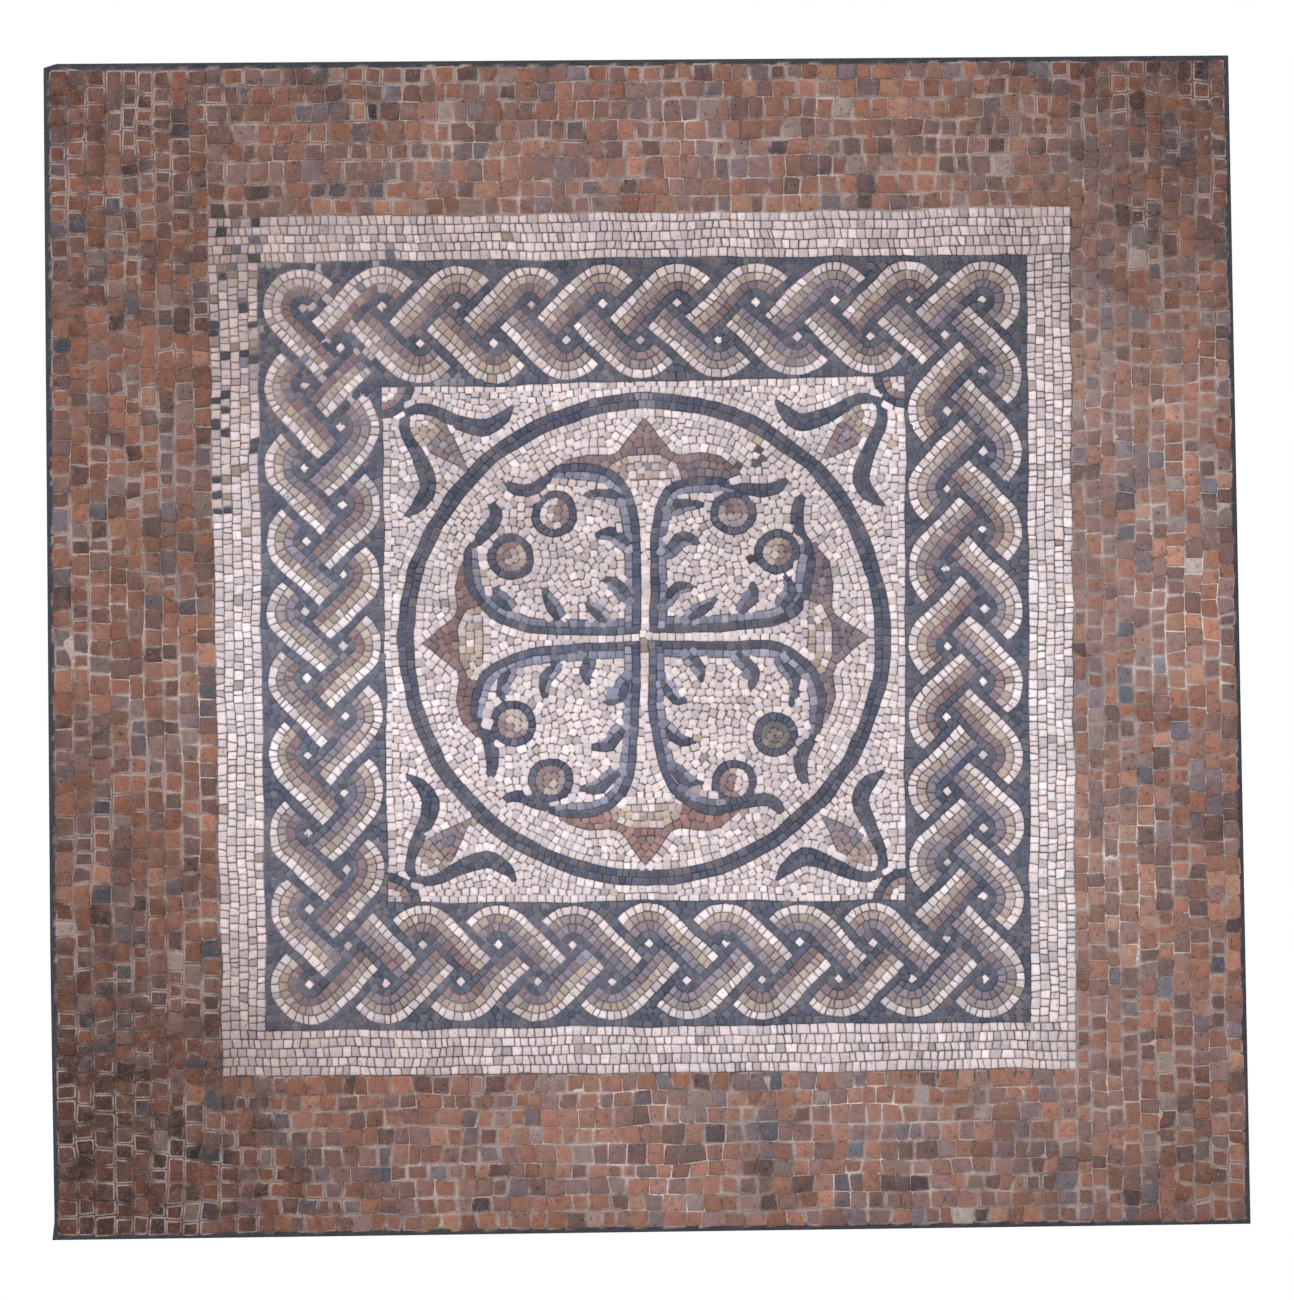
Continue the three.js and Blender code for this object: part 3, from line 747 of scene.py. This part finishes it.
def lay_red_border():
    tl, tr, br, bl = (arr(c) for c in TILE_CORNERS)
    wtl, wtr, wbr, wbl = (arr(c) for c in WHITE_CORNERS)
    def on_edge(a, b, u):
        return a + (b - a) * (u - a[0]) / (b[0] - a[0])
    lt, rt = on_edge(tl, tr, LEFT_SEAM[0]), on_edge(tl, tr, RIGHT_SEAM[0])
    lb, rb = on_edge(bl, br, LEFT_SEAM[1]), on_edge(bl, br, RIGHT_SEAM[1])
    strips = {"left": ([tl, bl], [lt, wtl, wbl, lb]), "right": ([tr, br], [rt, wtr, wbr, rb]),
              "top": ([lt, rt], [wtl, wtr]), "bottom": ([lb, rb], [wbl, wbr])}
    for side, (outer, inner) in strips.items():
        outer, inner = resampled(arr(outer), 4.0), arr(inner)
        axis = 1 if side in ("left", "right") else 0
        order = np.argsort(inner[:, axis])
        far = outer.copy()
        far[:, 1 - axis] = np.interp(outer[:, axis], inner[order, axis], inner[order, 1 - axis])
        far[0], far[-1] = inner[0], inner[-1]
        widths = np.exp(rng.normal(0, 0.09, RED_ROWS[side]))
        lines = []
        for m in join([[0], np.cumsum(widths) / widths.sum()]):
            line = outer + (far - outer) * m
            line[:, 1 - axis] += Drift(60, 500)(outer) * (RED_WAVE if 0 < m < 1 else RED_EDGE_WAVE)
            lines.append(line)
        for a, b in zip(lines, lines[1:]):
            lay_row("red_tiles_" + side, a, b, 24.0, "tile", spread=0.17, skew=0.07)


lay_guilloche()
lay_medallion()
lay_white_border()
lay_red_border()
polys, zones = relaxed_stones()
for zone, (piece, palette, _) in zone_info.items():
    mine = polys[zones == zone]
    if len(mine):
        made = palette(mine.mean(1)) if callable(palette) else from_palette(palette, len(mine))
        add_stones(piece, mine, made, kind_of(palette))


# ---- shaping the stones
KINDS = {  # half joint, its spread, corner cut from and to, bevel, drop from the face, tilt
    "fine": (0.47, 0.16, 0.4, 2.2, 0.50, 0.6, 0.026),
    "close": (0.36, 0.12, 0.3, 1.6, 0.5, 0.6, 0.018),
    "tile": (0.70, 0.25, 0.4, 3.8, 0.6, 1.0, 0.018),
}
UNEVEN, TILE_UNEVEN = 0.22, 0.45  # how far a corner may be out of place
SMALLEST = 12  # mm2
CROWN, CROWN_MIDDLE = 0.05, 0.02  # least depth below the face, at the edge and in the middle
# Painted shade: each stone's colour is made darker at its shoulder, and darker still at its foot
# down in the joint.
EDGE_PAINTED_SHADE, FOOT_PAINTED_SHADE = 0.88, 0.60


def counter_clockwise(poly):
    flip = polygon_area(poly) < 0
    poly = poly.copy()
    poly[flip] = poly[flip][:, ::-1]
    return poly


def inset(poly, by):
    """Convex polygons with every edge moved inwards."""
    def normal(e):
        e = e / np.maximum(np.linalg.norm(e, axis=-1, keepdims=True), 1e-6)
        return np.stack([-e[..., 1], e[..., 0]], -1)
    n0, n1 = normal(poly - np.roll(poly, 1, 1)), normal(np.roll(poly, -1, 1) - poly)
    scale = np.maximum(1 + (n0 * n1).sum(-1, keepdims=True), 0.35)
    return poly + (n0 + n1) / scale * np.asarray(by)[:, None, None]


def corners_cut(quads, low, high):
    """Eight-sided outlines from quads, each corner cut off by its own amount."""
    n = len(quads)
    before = np.roll(quads, 1, 1) - quads
    after = np.roll(quads, -1, 1) - quads
    cut = low + (high - low) * rng.random((n, 4, 2)) ** 2
    def step(edge, amount):
        length = np.linalg.norm(edge, axis=-1)
        reach = np.minimum(amount, length * 0.36)
        return edge / np.maximum(length, 1e-6)[..., None] * reach[..., None]
    a, b = quads + step(before, cut[..., 0]), quads + step(after, cut[..., 1])
    return np.stack([a, b], 2).reshape(n, 8, 2)


# The third is drawn and not used, because every later draw follows from it.
haze, stain, _, grain = Drift(260, 1500), Drift(70, 400), Drift(200, 1200), Drift(25, 90)

STAINS = [  # where the face is darker with age: middle, half-widths and share of the light lost
    (-760, 760, 330, 330, 0.47), (-770, -750, 300, 330, 0.80),
    (-790, 100, 110, 500, 0.26), (790, 780, 240, 260, 0.63),
    (800, -770, 220, 220, 0.37), (0, 730, 700, 120, 0.16), (-100, 560, 500, 60, 0.17),
    (-560, 430, 75, 190, 0.24), (0, -560, 480, 36, 0.05), (700, -100, 120, 420, -0.12),
    (-470, -120, 85, 330, -0.28), (450, 0, 60, 400, -0.08), (0, -450, 400, 60, -0.08),
    (-150, 150, 120, 120, 0.10), (150, 150, 120, 120, 0.10),
    (150, -150, 120, 120, 0.12),
]
FADING = (0.42, 0.50, 0.54)  # red, green and blue fade unequally
HAZES = [(560, -60, 90, 420, 0.30), (120, -640, 420, 70, 0.16),
         (-80, 640, 420, 70, 0.18), (640, 500, 120, 160, 0.20)]
FILM = (166, 149, 148)
REPAIRS = [  # middle, half-widths, share of the stones replaced, and with what
    (-555, 370, 38, 220, 0.11, (76, 78, 92)), (-555, 370, 38, 220, 0.08, (166, 149, 138)),
    (-450, 440, 110, 110, 0.10, (180, 170, 178)),
    (-450, 440, 110, 110, 0.03, (122, 126, 146)),
    (148, 250, 24, 17, 0.50, (92, 91, 98)), (151, 279, 7, 7, 0.9, (188, 174, 146)),
    (147, 119, 8, 8, 0.7, (80, 76, 84)), (5, 330, 14, 9, 0.6, (132, 134, 148)),
    (-260, 360, 17, 7, 0.7, (140, 142, 153)), (0, 5, 8, 8, 1.0, (150, 134, 128)),
]
VARIATION, TILE_VARIATION, HUE_VARIATION = 0.045, 0.085, 0.005
FIELD_TINT = (-0.003, 0.0, 0.004)  # the inner field is a little bluer


def spots(at, rows):
    for u, v, half_u, half_v, share in rows:
        d = (at - arr([u, v])) / arr([half_u, half_v])
        yield share * np.exp(-0.5 * (d * d).sum(-1))


def stained(colour, at):
    kept = 1.0
    for share in spots(at, STAINS):
        kept = kept * (1 - share)
    return colour * kept[..., None] ** arr(FADING)


def aged(colour, at):
    """Patina by place on the red border: a pale film here, a dark stain there."""
    film = sum(spots(at, HAZES))[..., None] * (1 + 0.5 * stain(at))[..., None]
    return stained(blend(colour, arr(FILM), np.clip(film, 0, 0.6)), at)


def weathered(colour, at, kind):
    """Dirt, fading and chance variation of each stone by its place on the face."""
    n = len(colour)
    for u, v, half_u, half_v, share, new in REPAIRS:
        near = square_reach((at - arr([u, v])) / arr([half_u, half_v])) < 1
        hit = near & (rng.random(n) < share)
        if kind != "tile":
            colour = np.where(hit[:, None], arr(new), colour)
    spread = TILE_VARIATION if kind == "tile" else VARIATION
    value = 1 + rng.normal(0, spread, n) + 0.030 * haze(at) + 0.025 * stain(at)
    out = colour * value[:, None] * (1 + rng.normal(0, HUE_VARIATION, (n, 3)))
    cool = np.clip((FIELD_HALF + 4 - square_reach(at)[:, None]) / 8, 0, 1)
    out = out * (1 + cool * arr(FIELD_TINT))
    return aged(out, at) if kind == "tile" else stained(out, at)


# ---- meshes
MM = 0.001
BAKE_SHARE, BACK_AT, BACK_SHARE = 0.90, 0.905, 0.09  # of the bake map: the fronts, and the backs
laid_at, laid_tone = [], []  # middles and colours of all stones, for the mortar between them


def new_object(name, points, faces, colour):
    """An object from points in mm, arrays of faces, and the linear colour of each point."""
    mesh = bpy.data.meshes.new(name)
    loops = join([f.ravel() for f in faces])
    totals = join([np.full(len(f), f.shape[1]) for f in faces])
    starts = join([[0], np.cumsum(totals)[:-1]])
    mesh.vertices.add(len(points))
    mesh.vertices.foreach_set("co", (points * MM).reshape(-1).astype(np.float32))
    mesh.loops.add(len(loops))
    mesh.loops.foreach_set("vertex_index", loops.astype(np.int32))
    mesh.polygons.add(len(totals))
    mesh.polygons.foreach_set("loop_start", starts.astype(np.int32))
    mesh.polygons.foreach_set("loop_total", totals.astype(np.int32))
    mesh.update(calc_edges=True)
    mesh.validate()
    rgba = np.ones((len(points), 4))
    rgba[:, :3] = colour
    layer = mesh.color_attributes.new("stone", "FLOAT_COLOR", "POINT")
    layer.data.foreach_set("color", rgba.reshape(-1).astype(np.float32))
    obj = bpy.data.objects.new(name, mesh)
    bpy.context.scene.collection.objects.link(obj)
    return obj


def add_bake_map(mesh, flat, before_backs, back_loops):
    """A bake map seen from the front, where the backs get a small copy of it in the corner."""
    low = flat.min(0)
    spread = (flat - low) / (flat.max(0) - low)
    index = np.zeros(len(mesh.loops), np.int32)
    mesh.loops.foreach_get("vertex_index", index)
    uv = spread[index] * BAKE_SHARE
    backs = slice(before_backs, before_backs + back_loops)
    uv[backs] = spread[index[backs]] * BACK_SHARE + BACK_AT
    layer = mesh.uv_layers.new(name="OFBake")
    layer.data.foreach_set("uv", uv.reshape(-1).astype(np.float32))


def shaped(polys, colours, kind):
    """Outlines as laid, with colours, and the bevel, drop, tilt and bed of each stone."""
    half, spread, low, high, bevel, drop, tilt = KINDS[kind]
    tile = kind == "tile"
    p = counter_clockwise(wobbled(polys if tile else laid(polys)))
    n = len(p)
    p = inset(p, np.clip(half + rng.normal(0, spread, n), half * 0.5, half * 1.8))
    if p.shape[1] == 4:
        p = p + rng.normal(0, TILE_UNEVEN if tile else UNEVEN, p.shape)
        p = corners_cut(p, low, high)
    tone = weathered(colours, p.mean(1), kind)
    laid_at.append(p.mean(1))
    laid_tone.append(tone)
    return (p, tone, bevel * rng.uniform(0.7, 1.3, n), drop * rng.random(n),
            rng.normal(0, tilt, (n, 2)), np.full(n, TILE_BED if tile else FINE_BED))


def build_piece(name, groups):
    """Stones of 25 points: rings of 8 at top, shoulder and foot, and one in the middle."""
    parts = [join(x) for x in zip(*(shaped(*group) for group in groups))]
    keep = polygon_area(parts[0]) > SMALLEST
    p, tone, bevel, drop, tilt, bed = (x[keep] for x in parts)
    n = len(p)
    centre = p.mean(1, keepdims=True)
    top = inset(p, bevel)
    # A bevel that would turn a narrow stone's edge over is replaced by a plain scaling.
    bad = polygon_area(top) < 0.3 * polygon_area(p)
    top[bad] = (centre + (p - centre) * 0.75)[bad]
    surface = FACE - CROWN - drop
    lean, lean_out = (((xy - centre) * tilt[:, None, :]).sum(-1) for xy in (top, p))
    high = np.minimum(surface[:, None] + lean, FACE)
    shoulder = np.minimum(surface[:, None] + lean_out - bevel[:, None] * 0.75, FACE)
    foot = np.repeat(bed[:, None] + GAP, 8, 1)
    middle = np.minimum(surface, FACE - CROWN_MIDDLE)
    def ring(xy, w):
        return np.stack([xy[..., 0], -w, xy[..., 1]], -1)
    rings = np.stack([ring(top, high), ring(p, shoulder), ring(p, foot)], 1).reshape(n, 24, 3)
    points = join([rings, ring(centre[:, 0], middle)[:, None]], 1)
    base = np.arange(n)[:, None] * 25
    i = np.arange(8)
    j = (i + 1) % 8
    fans = (base[:, :, None] + np.stack([np.full(8, 24), i, j], -1)[None]).reshape(-1, 3)
    caps = (base + 16 + i[None, ::-1]).reshape(-1, 8)
    sides = join([np.stack([a + i, a + 8 + i, a + 8 + j, a + j], -1) for a in (0, 8)])
    sides = (base[:, :, None] + sides[None]).reshape(-1, 4)
    # Painted shade on every stone: full colour on the top and middle, darker at the shoulder ring
    # and darker still at the foot ring.
    shade = join([np.ones(8), np.full(8, EDGE_PAINTED_SHADE), np.full(8, FOOT_PAINTED_SHADE), [1.0]])
    colour = linear(tone)[:, None, :] * shade[None, :, None]
    obj = new_object(name, points.reshape(-1, 3), [fans, caps, sides], colour.reshape(-1, 3))
    flat = np.stack([top, p, inset(p, np.full(n, -0.25))], 1).reshape(n, 24, 2)
    flat = join([flat, centre], 1).reshape(-1, 2)
    add_bake_map(obj.data, flat, fans.size, caps.size)
    # How far in from its edge a point of a stone is, in mm.
    core = np.zeros((n, 25))
    core[:, 24] = np.sqrt(polygon_area(top)) / 2
    inward = obj.data.attributes.new("inward", "FLOAT", "POINT")
    inward.data.foreach_set("value", core.reshape(-1).astype(np.float32))
    return obj


# ---- materials
class Nodes:
    """A material and its node tree, with short calls for the nodes used here."""

    def __init__(self, name):
        self.material = bpy.data.materials.new(name)
        self.material.use_nodes = True
        self.tree = self.material.node_tree
        self.shader = self.tree.nodes["Principled BSDF"]

    def put(self, node, **values):
        """Numbers, sRGB colours and the outputs of other nodes into inputs."""
        for key, value in values.items():
            socket = node.inputs[key.replace("_", " ")]
            if isinstance(value, bpy.types.NodeSocket):
                self.tree.links.new(value, socket)
            else:
                socket.default_value = value
        return node

    def add(self, kind, **values):
        return self.put(self.tree.nodes.new(kind), **values)

    def place(self):
        return self.add("ShaderNodeTexCoord").outputs["Object"]

    def attribute(self, name, output):
        node = self.add("ShaderNodeAttribute")
        node.attribute_name = name
        return node.outputs[output]

    def noise(self, at, scale, detail=3.0, rough=0.5):
        return self.add("ShaderNodeTexNoise", Vector=at, Scale=scale, Detail=detail,
                        Roughness=rough).outputs["Fac"]

    def ramp(self, value, low, high, to_low, to_high):
        return self.add("ShaderNodeMapRange", Value=value, From_Min=low, From_Max=high,
                        To_Min=to_low, To_Max=to_high).outputs["Result"]

    def patches(self, at, scale, detail, rough, *ends):
        return self.ramp(self.noise(at, scale, detail, rough), *ends)

    def both(self, a, a_low, a_high, b, b_low, b_high):
        """Light and dark from two noises together."""
        return self.math("MULTIPLY", self.ramp(a, 0.3, 0.7, a_low, a_high),
                         self.ramp(b, 0.3, 0.7, b_low, b_high))

    def math(self, operation, a, *others):
        for b in others:
            node = self.add("ShaderNodeMath")
            node.operation = operation
            self.tree.links.new(a, node.inputs[0])
            self.tree.links.new(b, node.inputs[1])
            a = node.outputs[0]
        return a

    def scaled(self, colour, value):
        """A colour times a number."""
        node = self.add("ShaderNodeVectorMath")
        node.operation = "SCALE"
        self.tree.links.new(colour, node.inputs[0])
        return self.put(node, Scale=value).outputs[0]

    def mixed(self, amount, a, b):
        """The sRGB colour b over a."""
        node = self.add("ShaderNodeMix")
        node.data_type = "RGBA"
        self.put(node, Factor=amount)
        for value, socket in ((a, node.inputs[6]), (b, node.inputs[7])):
            if isinstance(value, tuple):
                socket.default_value = (*linear(arr(value)), 1)
            else:
                self.tree.links.new(value, socket)
        return node.outputs[2]

    def finished(self, colour, rough, specular, height, strength, distance):
        bump = self.add("ShaderNodeBump", Strength=strength, Distance=distance, Height=height)
        self.put(self.shader, Base_Color=colour, Roughness=rough, Specular_IOR_Level=specular,
                 Normal=bump.outputs["Normal"])
        return self.material


def stone_material(name, mottle, speck, rough, pits, smear, contrast, film, rust, burnt):
    m = Nodes(name)
    at = m.place()
    inward = m.attribute("inward", "Fac")
    broad = m.noise(at, mottle, 4.0, 0.65)
    fine = m.noise(at, speck, 3.0, 0.7)
    low, high = 1 - contrast, 1 + contrast * 0.8
    tone = m.both(broad, low, high, fine, low, high)
    body = m.scaled(m.attribute("stone", "Color"), tone)
    # Dirt gathers along a ragged line just inside the edge.
    ragged = m.math("SUBTRACT", inward, m.ramp(fine, 0.35, 0.65, -0.6, 0.9))
    body = m.scaled(body, m.ramp(ragged, 0.0, 0.8, 0.80, 1.0))
    # Pits in the surface.
    dark = m.patches(at, pits, 2.0, 0.55, 0.62, 0.70, 0.0, 1.0)
    body = m.scaled(body, m.ramp(dark, 0.0, 1.0, 1.0, 0.45))
    # A worn, greyer skin, rust and burning in patches, and light grains.
    worn = m.patches(at, mottle * 0.4, 5.0, 0.7, 0.50, 0.68, 0.0, film)
    rusty = m.patches(at, mottle * 0.55, 3.0, 0.6, 0.46, 0.66, 0.0, rust)
    burn = m.patches(at, mottle * 0.8, 4.0, 0.7, 0.54, 0.66, 1.0, 1.0 - burnt)
    grains = m.patches(at, speck * 1.3, 2.0, 0.6, 0.64, 0.72, 0.0, 0.5)
    body = m.mixed(rusty, m.mixed(worn, body, (150, 134, 132)), (158, 96, 66))
    body = m.mixed(grains, m.scaled(body, burn), (196, 180, 172))
    # Mortar smeared over the edges in patches.
    near = m.math("ADD", inward, m.ramp(fine, 0.3, 0.7, -0.8, 1.4))
    over = m.math("MULTIPLY", m.ramp(near, 0.6, 2.4, smear, 0.0),
                  m.patches(at, 28, 3.0, 0.6, 0.45, 0.62, 0.0, 1.0))
    body = m.mixed(over, body, (172, 155, 151))
    rough = m.ramp(fine, 0.3, 0.7, rough - 0.08, rough + 0.08)
    height = m.math("SUBTRACT", m.math("ADD", broad, fine), dark)
    return m.finished(body, rough, 0.3, height, 0.5, 0.0007)


STONE = stone_material("cut_limestone", mottle=160, speck=620, rough=0.72, pits=300, smear=0.20,
                       contrast=0.09, film=0.10, rust=0.0, burnt=0.10)
TILE = stone_material("fired_clay_tile", mottle=85, speck=420, rough=0.80, pits=150, smear=0.85,
                      contrast=0.18, film=0.30, rust=0.22, burnt=0.36)


def mortar_material():
    m = Nodes("joint_mortar")
    at = m.place()
    broad = m.noise(at, 45, 4.0, 0.6)
    sand = m.noise(at, 1100, 2.0, 0.7)
    tone = m.both(broad, 0.85, 1.15, sand, 0.82, 1.16)
    body = m.scaled(m.attribute("stone", "Color"), tone)
    body = m.scaled(body, m.patches(at, 420, 3.0, 0.6, 0.56, 0.66, 1.0, 1.5))
    body = m.scaled(body, m.patches(at, 240, 3.0, 0.6, 0.56, 0.64, 1.0, 0.55))
    return m.finished(body, 0.92, 0.2, m.math("ADD", broad, sand), 0.6, 0.001)


def slab_material():
    m = Nodes("cast_backing")
    at = m.place()
    mid = m.noise(at, 38, 5.0, 0.62)
    sand = m.noise(at, 650, 2.0, 0.7)
    cloud = m.patches(at, 3.5, 6.0, 0.62, 0.38, 0.62, 0, 1)
    colour = m.mixed(cloud, (176, 169, 160), (146, 140, 132))
    # Streaks where the wet mortar was drawn off across the mould.
    drawn = m.add("ShaderNodeMapping", Vector=at, Scale=(1.5, 1.5, 26))
    streak = m.noise(drawn.outputs["Vector"], 2.2, 5.0, 0.6)
    # Sand and small stones in the mix, and the holes left by air.
    grit = m.noise(at, 160, 2.0, 0.5)
    hollow = m.patches(at, 75, 2.0, 0.5, 0.685, 0.73, 0.0, 1.0)
    tone = m.math("MULTIPLY", m.both(mid, 0.86, 1.1, sand, 0.88, 1.1),
                  m.ramp(streak, 0.35, 0.65, 0.90, 1.06), m.ramp(hollow, 0.0, 1.0, 1.0, 0.42))
    body = m.scaled(colour, tone)
    body = m.mixed(m.ramp(grit, 0.62, 0.66, 0.0, 0.5), body, (198, 188, 174))
    body = m.mixed(m.ramp(grit, 0.34, 0.38, 0.5, 0.0), body, (104, 98, 94))
    height = m.math("SUBTRACT", m.math("ADD", mid, sand, streak), hollow)
    return m.finished(body, m.ramp(mid, 0.3, 0.7, 0.84, 0.96), 0.25, height, 0.6, 0.002)


# ---- pieces and what they stand for
OTHER_NODES = {"guilloche_strand": ["guilloche_strands"],
               "medallion_ground": ["medallion_ground", "cross_ground"]}

for name, groups in stones.items():
    obj = build_piece(name, groups)
    obj.data.materials.append(TILE if name.startswith("red_tiles") else STONE)
    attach(obj, "root")
    # Nearly every piece stands for the node that has its name without the word stones.
    node = name.replace("_stones", "").replace("red_tiles", "red_border")
    nodes = OTHER_NODES.get(node, [node])
    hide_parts(*nodes)


# ---- mortar
MORTAR_LINES = 300  # of the grid, each way
RIM_LINES = arr([0, 0.0016, 0.0042])  # the outermost lines follow the rim closely
FIRST_EVEN_LINE = 0.0085
RED_FROM = 579.0
RED_LEVEL, FINE_LEVEL = 58.5, 58.7  # of the mortar between the stones
RIM_COLOUR = arr((62, 63, 70))


def build_mortar():
    """The front of the bed, and how much of the rim is left standing at each point."""
    even = np.linspace(-1 + FIRST_EVEN_LINE, 1 - FIRST_EVEN_LINE, MORTAR_LINES - 6)
    a = join([-1 + RIM_LINES, even, (1 - RIM_LINES)[::-1]])
    aa, bb = np.meshgrid(a, a)
    p = in_field(MORTAR_CORNERS, aa, bb)
    # The flare at the foot of the left edge and the chip at the top left.
    near_left = np.clip((-780 - p[..., 0]) / 12, 0, 1)
    foot = np.clip((p[..., 1] + 797) / 25, 0, 1)
    p[..., 0] += near_left * 3.0 * foot * np.clip((-400 - p[..., 1]) / 375, 0, 1)
    chip = 778 + (p[..., 0] + 807) * (5.5 / 17)
    p[..., 1] = np.minimum(p[..., 1], np.maximum(chip, 770))
    rough = Drift(9, 60)
    depth_in = (1 - np.maximum(np.abs(aa), np.abs(bb))) * 800
    ragged = 8.0 + 2.4 * rough(p)
    return p, np.clip((ragged - depth_in) / 2.0 + 0.5, 0, 1)


def joint_colour(p):
    """Mortar between the stones: as dark as the stones beside it, and pale grey-pink in the red."""
    reach = square_reach(p)[..., None]
    tones = join(laid_tone).mean(1)
    tree = kd_tree(join(laid_at))
    pairs = arr([[tones[hit[1]] for hit in tree.find_n((x, y, 0), 2)] for x, y in p.reshape(-1, 2)])
    near = 0.65 * pairs.min(1) + 0.35 * pairs.mean(1)  # dark bedding shows round dark stones
    light = np.clip((near.reshape(p.shape[:-1]) - 95) / 105, 0, 1)[..., None]
    inner = blend(arr((84, 85, 96)), arr((122, 106, 101)), light)
    # Grouted pale between the dark stones of the guilloche, most of all at the left.
    in_band = np.clip((reach - 360) / 6, 0, 1)
    worn = np.clip(0.30 - p[..., :1] / 1100 + 0.35 * stain(p)[..., None], 0, 0.75)
    inner = blend(inner, arr((158, 152, 157)), worn * in_band * (1 - light))
    # And round the repaired corner.
    d = np.linalg.norm(p - arr((-450, 440)), axis=-1)[..., None]
    inner = stained(blend(inner, arr((176, 166, 168)), np.clip(1.3 - d / 150, 0, 0.65)), p)
    red = aged(np.zeros(p.shape[:-1] + (3,)) + arr((176, 158, 154)), p)
    return np.where(reach > RED_FROM, red, inner)


def lay_mortar():
    """The bed as one closed sheet, whose front lies a little below the stones."""
    p, rim = build_mortar()
    n = MORTAR_LINES
    reach = square_reach(p)
    share = np.where(reach > RED_FROM, 0.14, 0.06)
    colour = joint_colour(p) * (1 + share * stain(p) + 0.06 * grain(p))[..., None]
    colour = blend(colour, RIM_COLOUR, rim[..., None])
    level = np.where(reach > RED_FROM + 1, RED_LEVEL, FINE_LEVEL) + 0.25 * grain(p)
    level = blend(level, RIM_FRONT, rim)
    flat = np.stack([p[..., 0], -level, p[..., 1]], -1).reshape(-1, 3)
    border = join([np.arange(n), np.arange(1, n) * n + n - 1,
                             n * n - 2 - np.arange(n - 1), np.arange(n - 2, 0, -1) * n])
    back = flat[border].copy()
    back[:, 1] = -(SLAB_FRONT + GAP)
    y, x = np.mgrid[0:n - 1, 0:n - 1]
    i = (y * n + x).ravel()
    quads = np.stack([i, i + 1, i + n + 1, i + n], -1)
    m = len(border)
    k = np.arange(m)
    k1 = (k + 1) % m
    sides = np.stack([border[k1], border[k], n * n + k, n * n + k1], -1)
    colours = join([linear(colour.reshape(-1, 3)), np.tile(linear(RIM_COLOUR), (m, 1))])
    obj = new_object("mortar_joints", join([flat, back]),
                     [quads, sides, n * n + k[None, ::-1]], colours)
    rim_flat = p.reshape(-1, 2)[border]
    outward = rim_flat - rim_flat.mean(0)
    outward /= np.abs(outward).max(-1, keepdims=True)
    flat = join([p.reshape(-1, 2), rim_flat + outward * 12])
    add_bake_map(obj.data, flat, quads.size + sides.size, m)
    obj.data.materials.append(mortar_material())
    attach(obj, "root")
    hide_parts("mortar_bed")


lay_mortar()
slab = bpy.data.objects["backing_slab"]
for slot_of in slab.material_slots:
    slot_of.material = slab_material()

# ---- stage, light and camera
FLOOR_RADIUS, FLOOR_CORNERS, FLOOR_AT = 4.2, 96, -1.6
floor_mesh = bpy.data.meshes.new("studio_floor")
around = np.linspace(0, TAU, FLOOR_CORNERS, endpoint=False)
floor_mesh.from_pydata([(FLOOR_RADIUS * math.cos(a), FLOOR_RADIUS * math.sin(a), FLOOR_AT)
                        for a in around], [], [list(range(FLOOR_CORNERS))])
floor = bpy.data.objects.new("studio_floor", floor_mesh)
bpy.context.scene.collection.objects.link(floor)
floor_look = Nodes("pale_floor")
floor_look.put(floor_look.shader, Base_Color=(0.86, 0.86, 0.86, 1), Roughness=0.9)
floor_mesh.materials.append(floor_look.material)

scene = bpy.context.scene
world = bpy.data.worlds.new("studio")
scene.world = world
world.use_nodes = True
tree = world.node_tree
background = tree.nodes["Background"]
background.inputs["Color"].default_value = (1, 1, 1, 1)
# White behind the panel, and a softer light from all round.
path_info = tree.nodes.new("ShaderNodeLightPath")
strength = tree.nodes.new("ShaderNodeMapRange")
strength.inputs["To Min"].default_value = 0.62
strength.inputs["To Max"].default_value = 1.0
tree.links.new(path_info.outputs["Is Camera Ray"], strength.inputs["Value"])
tree.links.new(strength.outputs["Result"], background.inputs["Strength"])


def area_light(name, place, size, power):
    data = bpy.data.lights.new(name, "AREA")
    data.shape = "DISK"
    data.size = size
    data.energy = power
    lamp = bpy.data.objects.new(name, data)
    lamp.location = place
    lamp.rotation_euler = (-Vector(place)).to_track_quat("-Z", "Y").to_euler()
    scene.collection.objects.link(lamp)


area_light("key", (-2.6, -4.2, 3.2), 1.6, 165)
area_light("fill", (3.4, -4.5, 0.8), 2.4, 40)

MM_PER_PIXEL, PHOTO_WIDTH = 1.3434, 1294
camera_data = bpy.data.cameras.new("camera")
camera = bpy.data.objects.new("camera", camera_data)
scene.collection.objects.link(camera)
camera_data.sensor_width = 36
camera_data.sensor_fit = "HORIZONTAL"
camera_data.lens = 120
distance = PHOTO_WIDTH * MM_PER_PIXEL * MM * camera_data.lens / camera_data.sensor_width
camera.location = (0.004, -FACE * MM - distance, -0.004)
camera.rotation_euler = (math.pi / 2, 0, 0)
camera_data.clip_end = 60
scene.camera = camera
scene.view_settings.view_transform = "Standard"
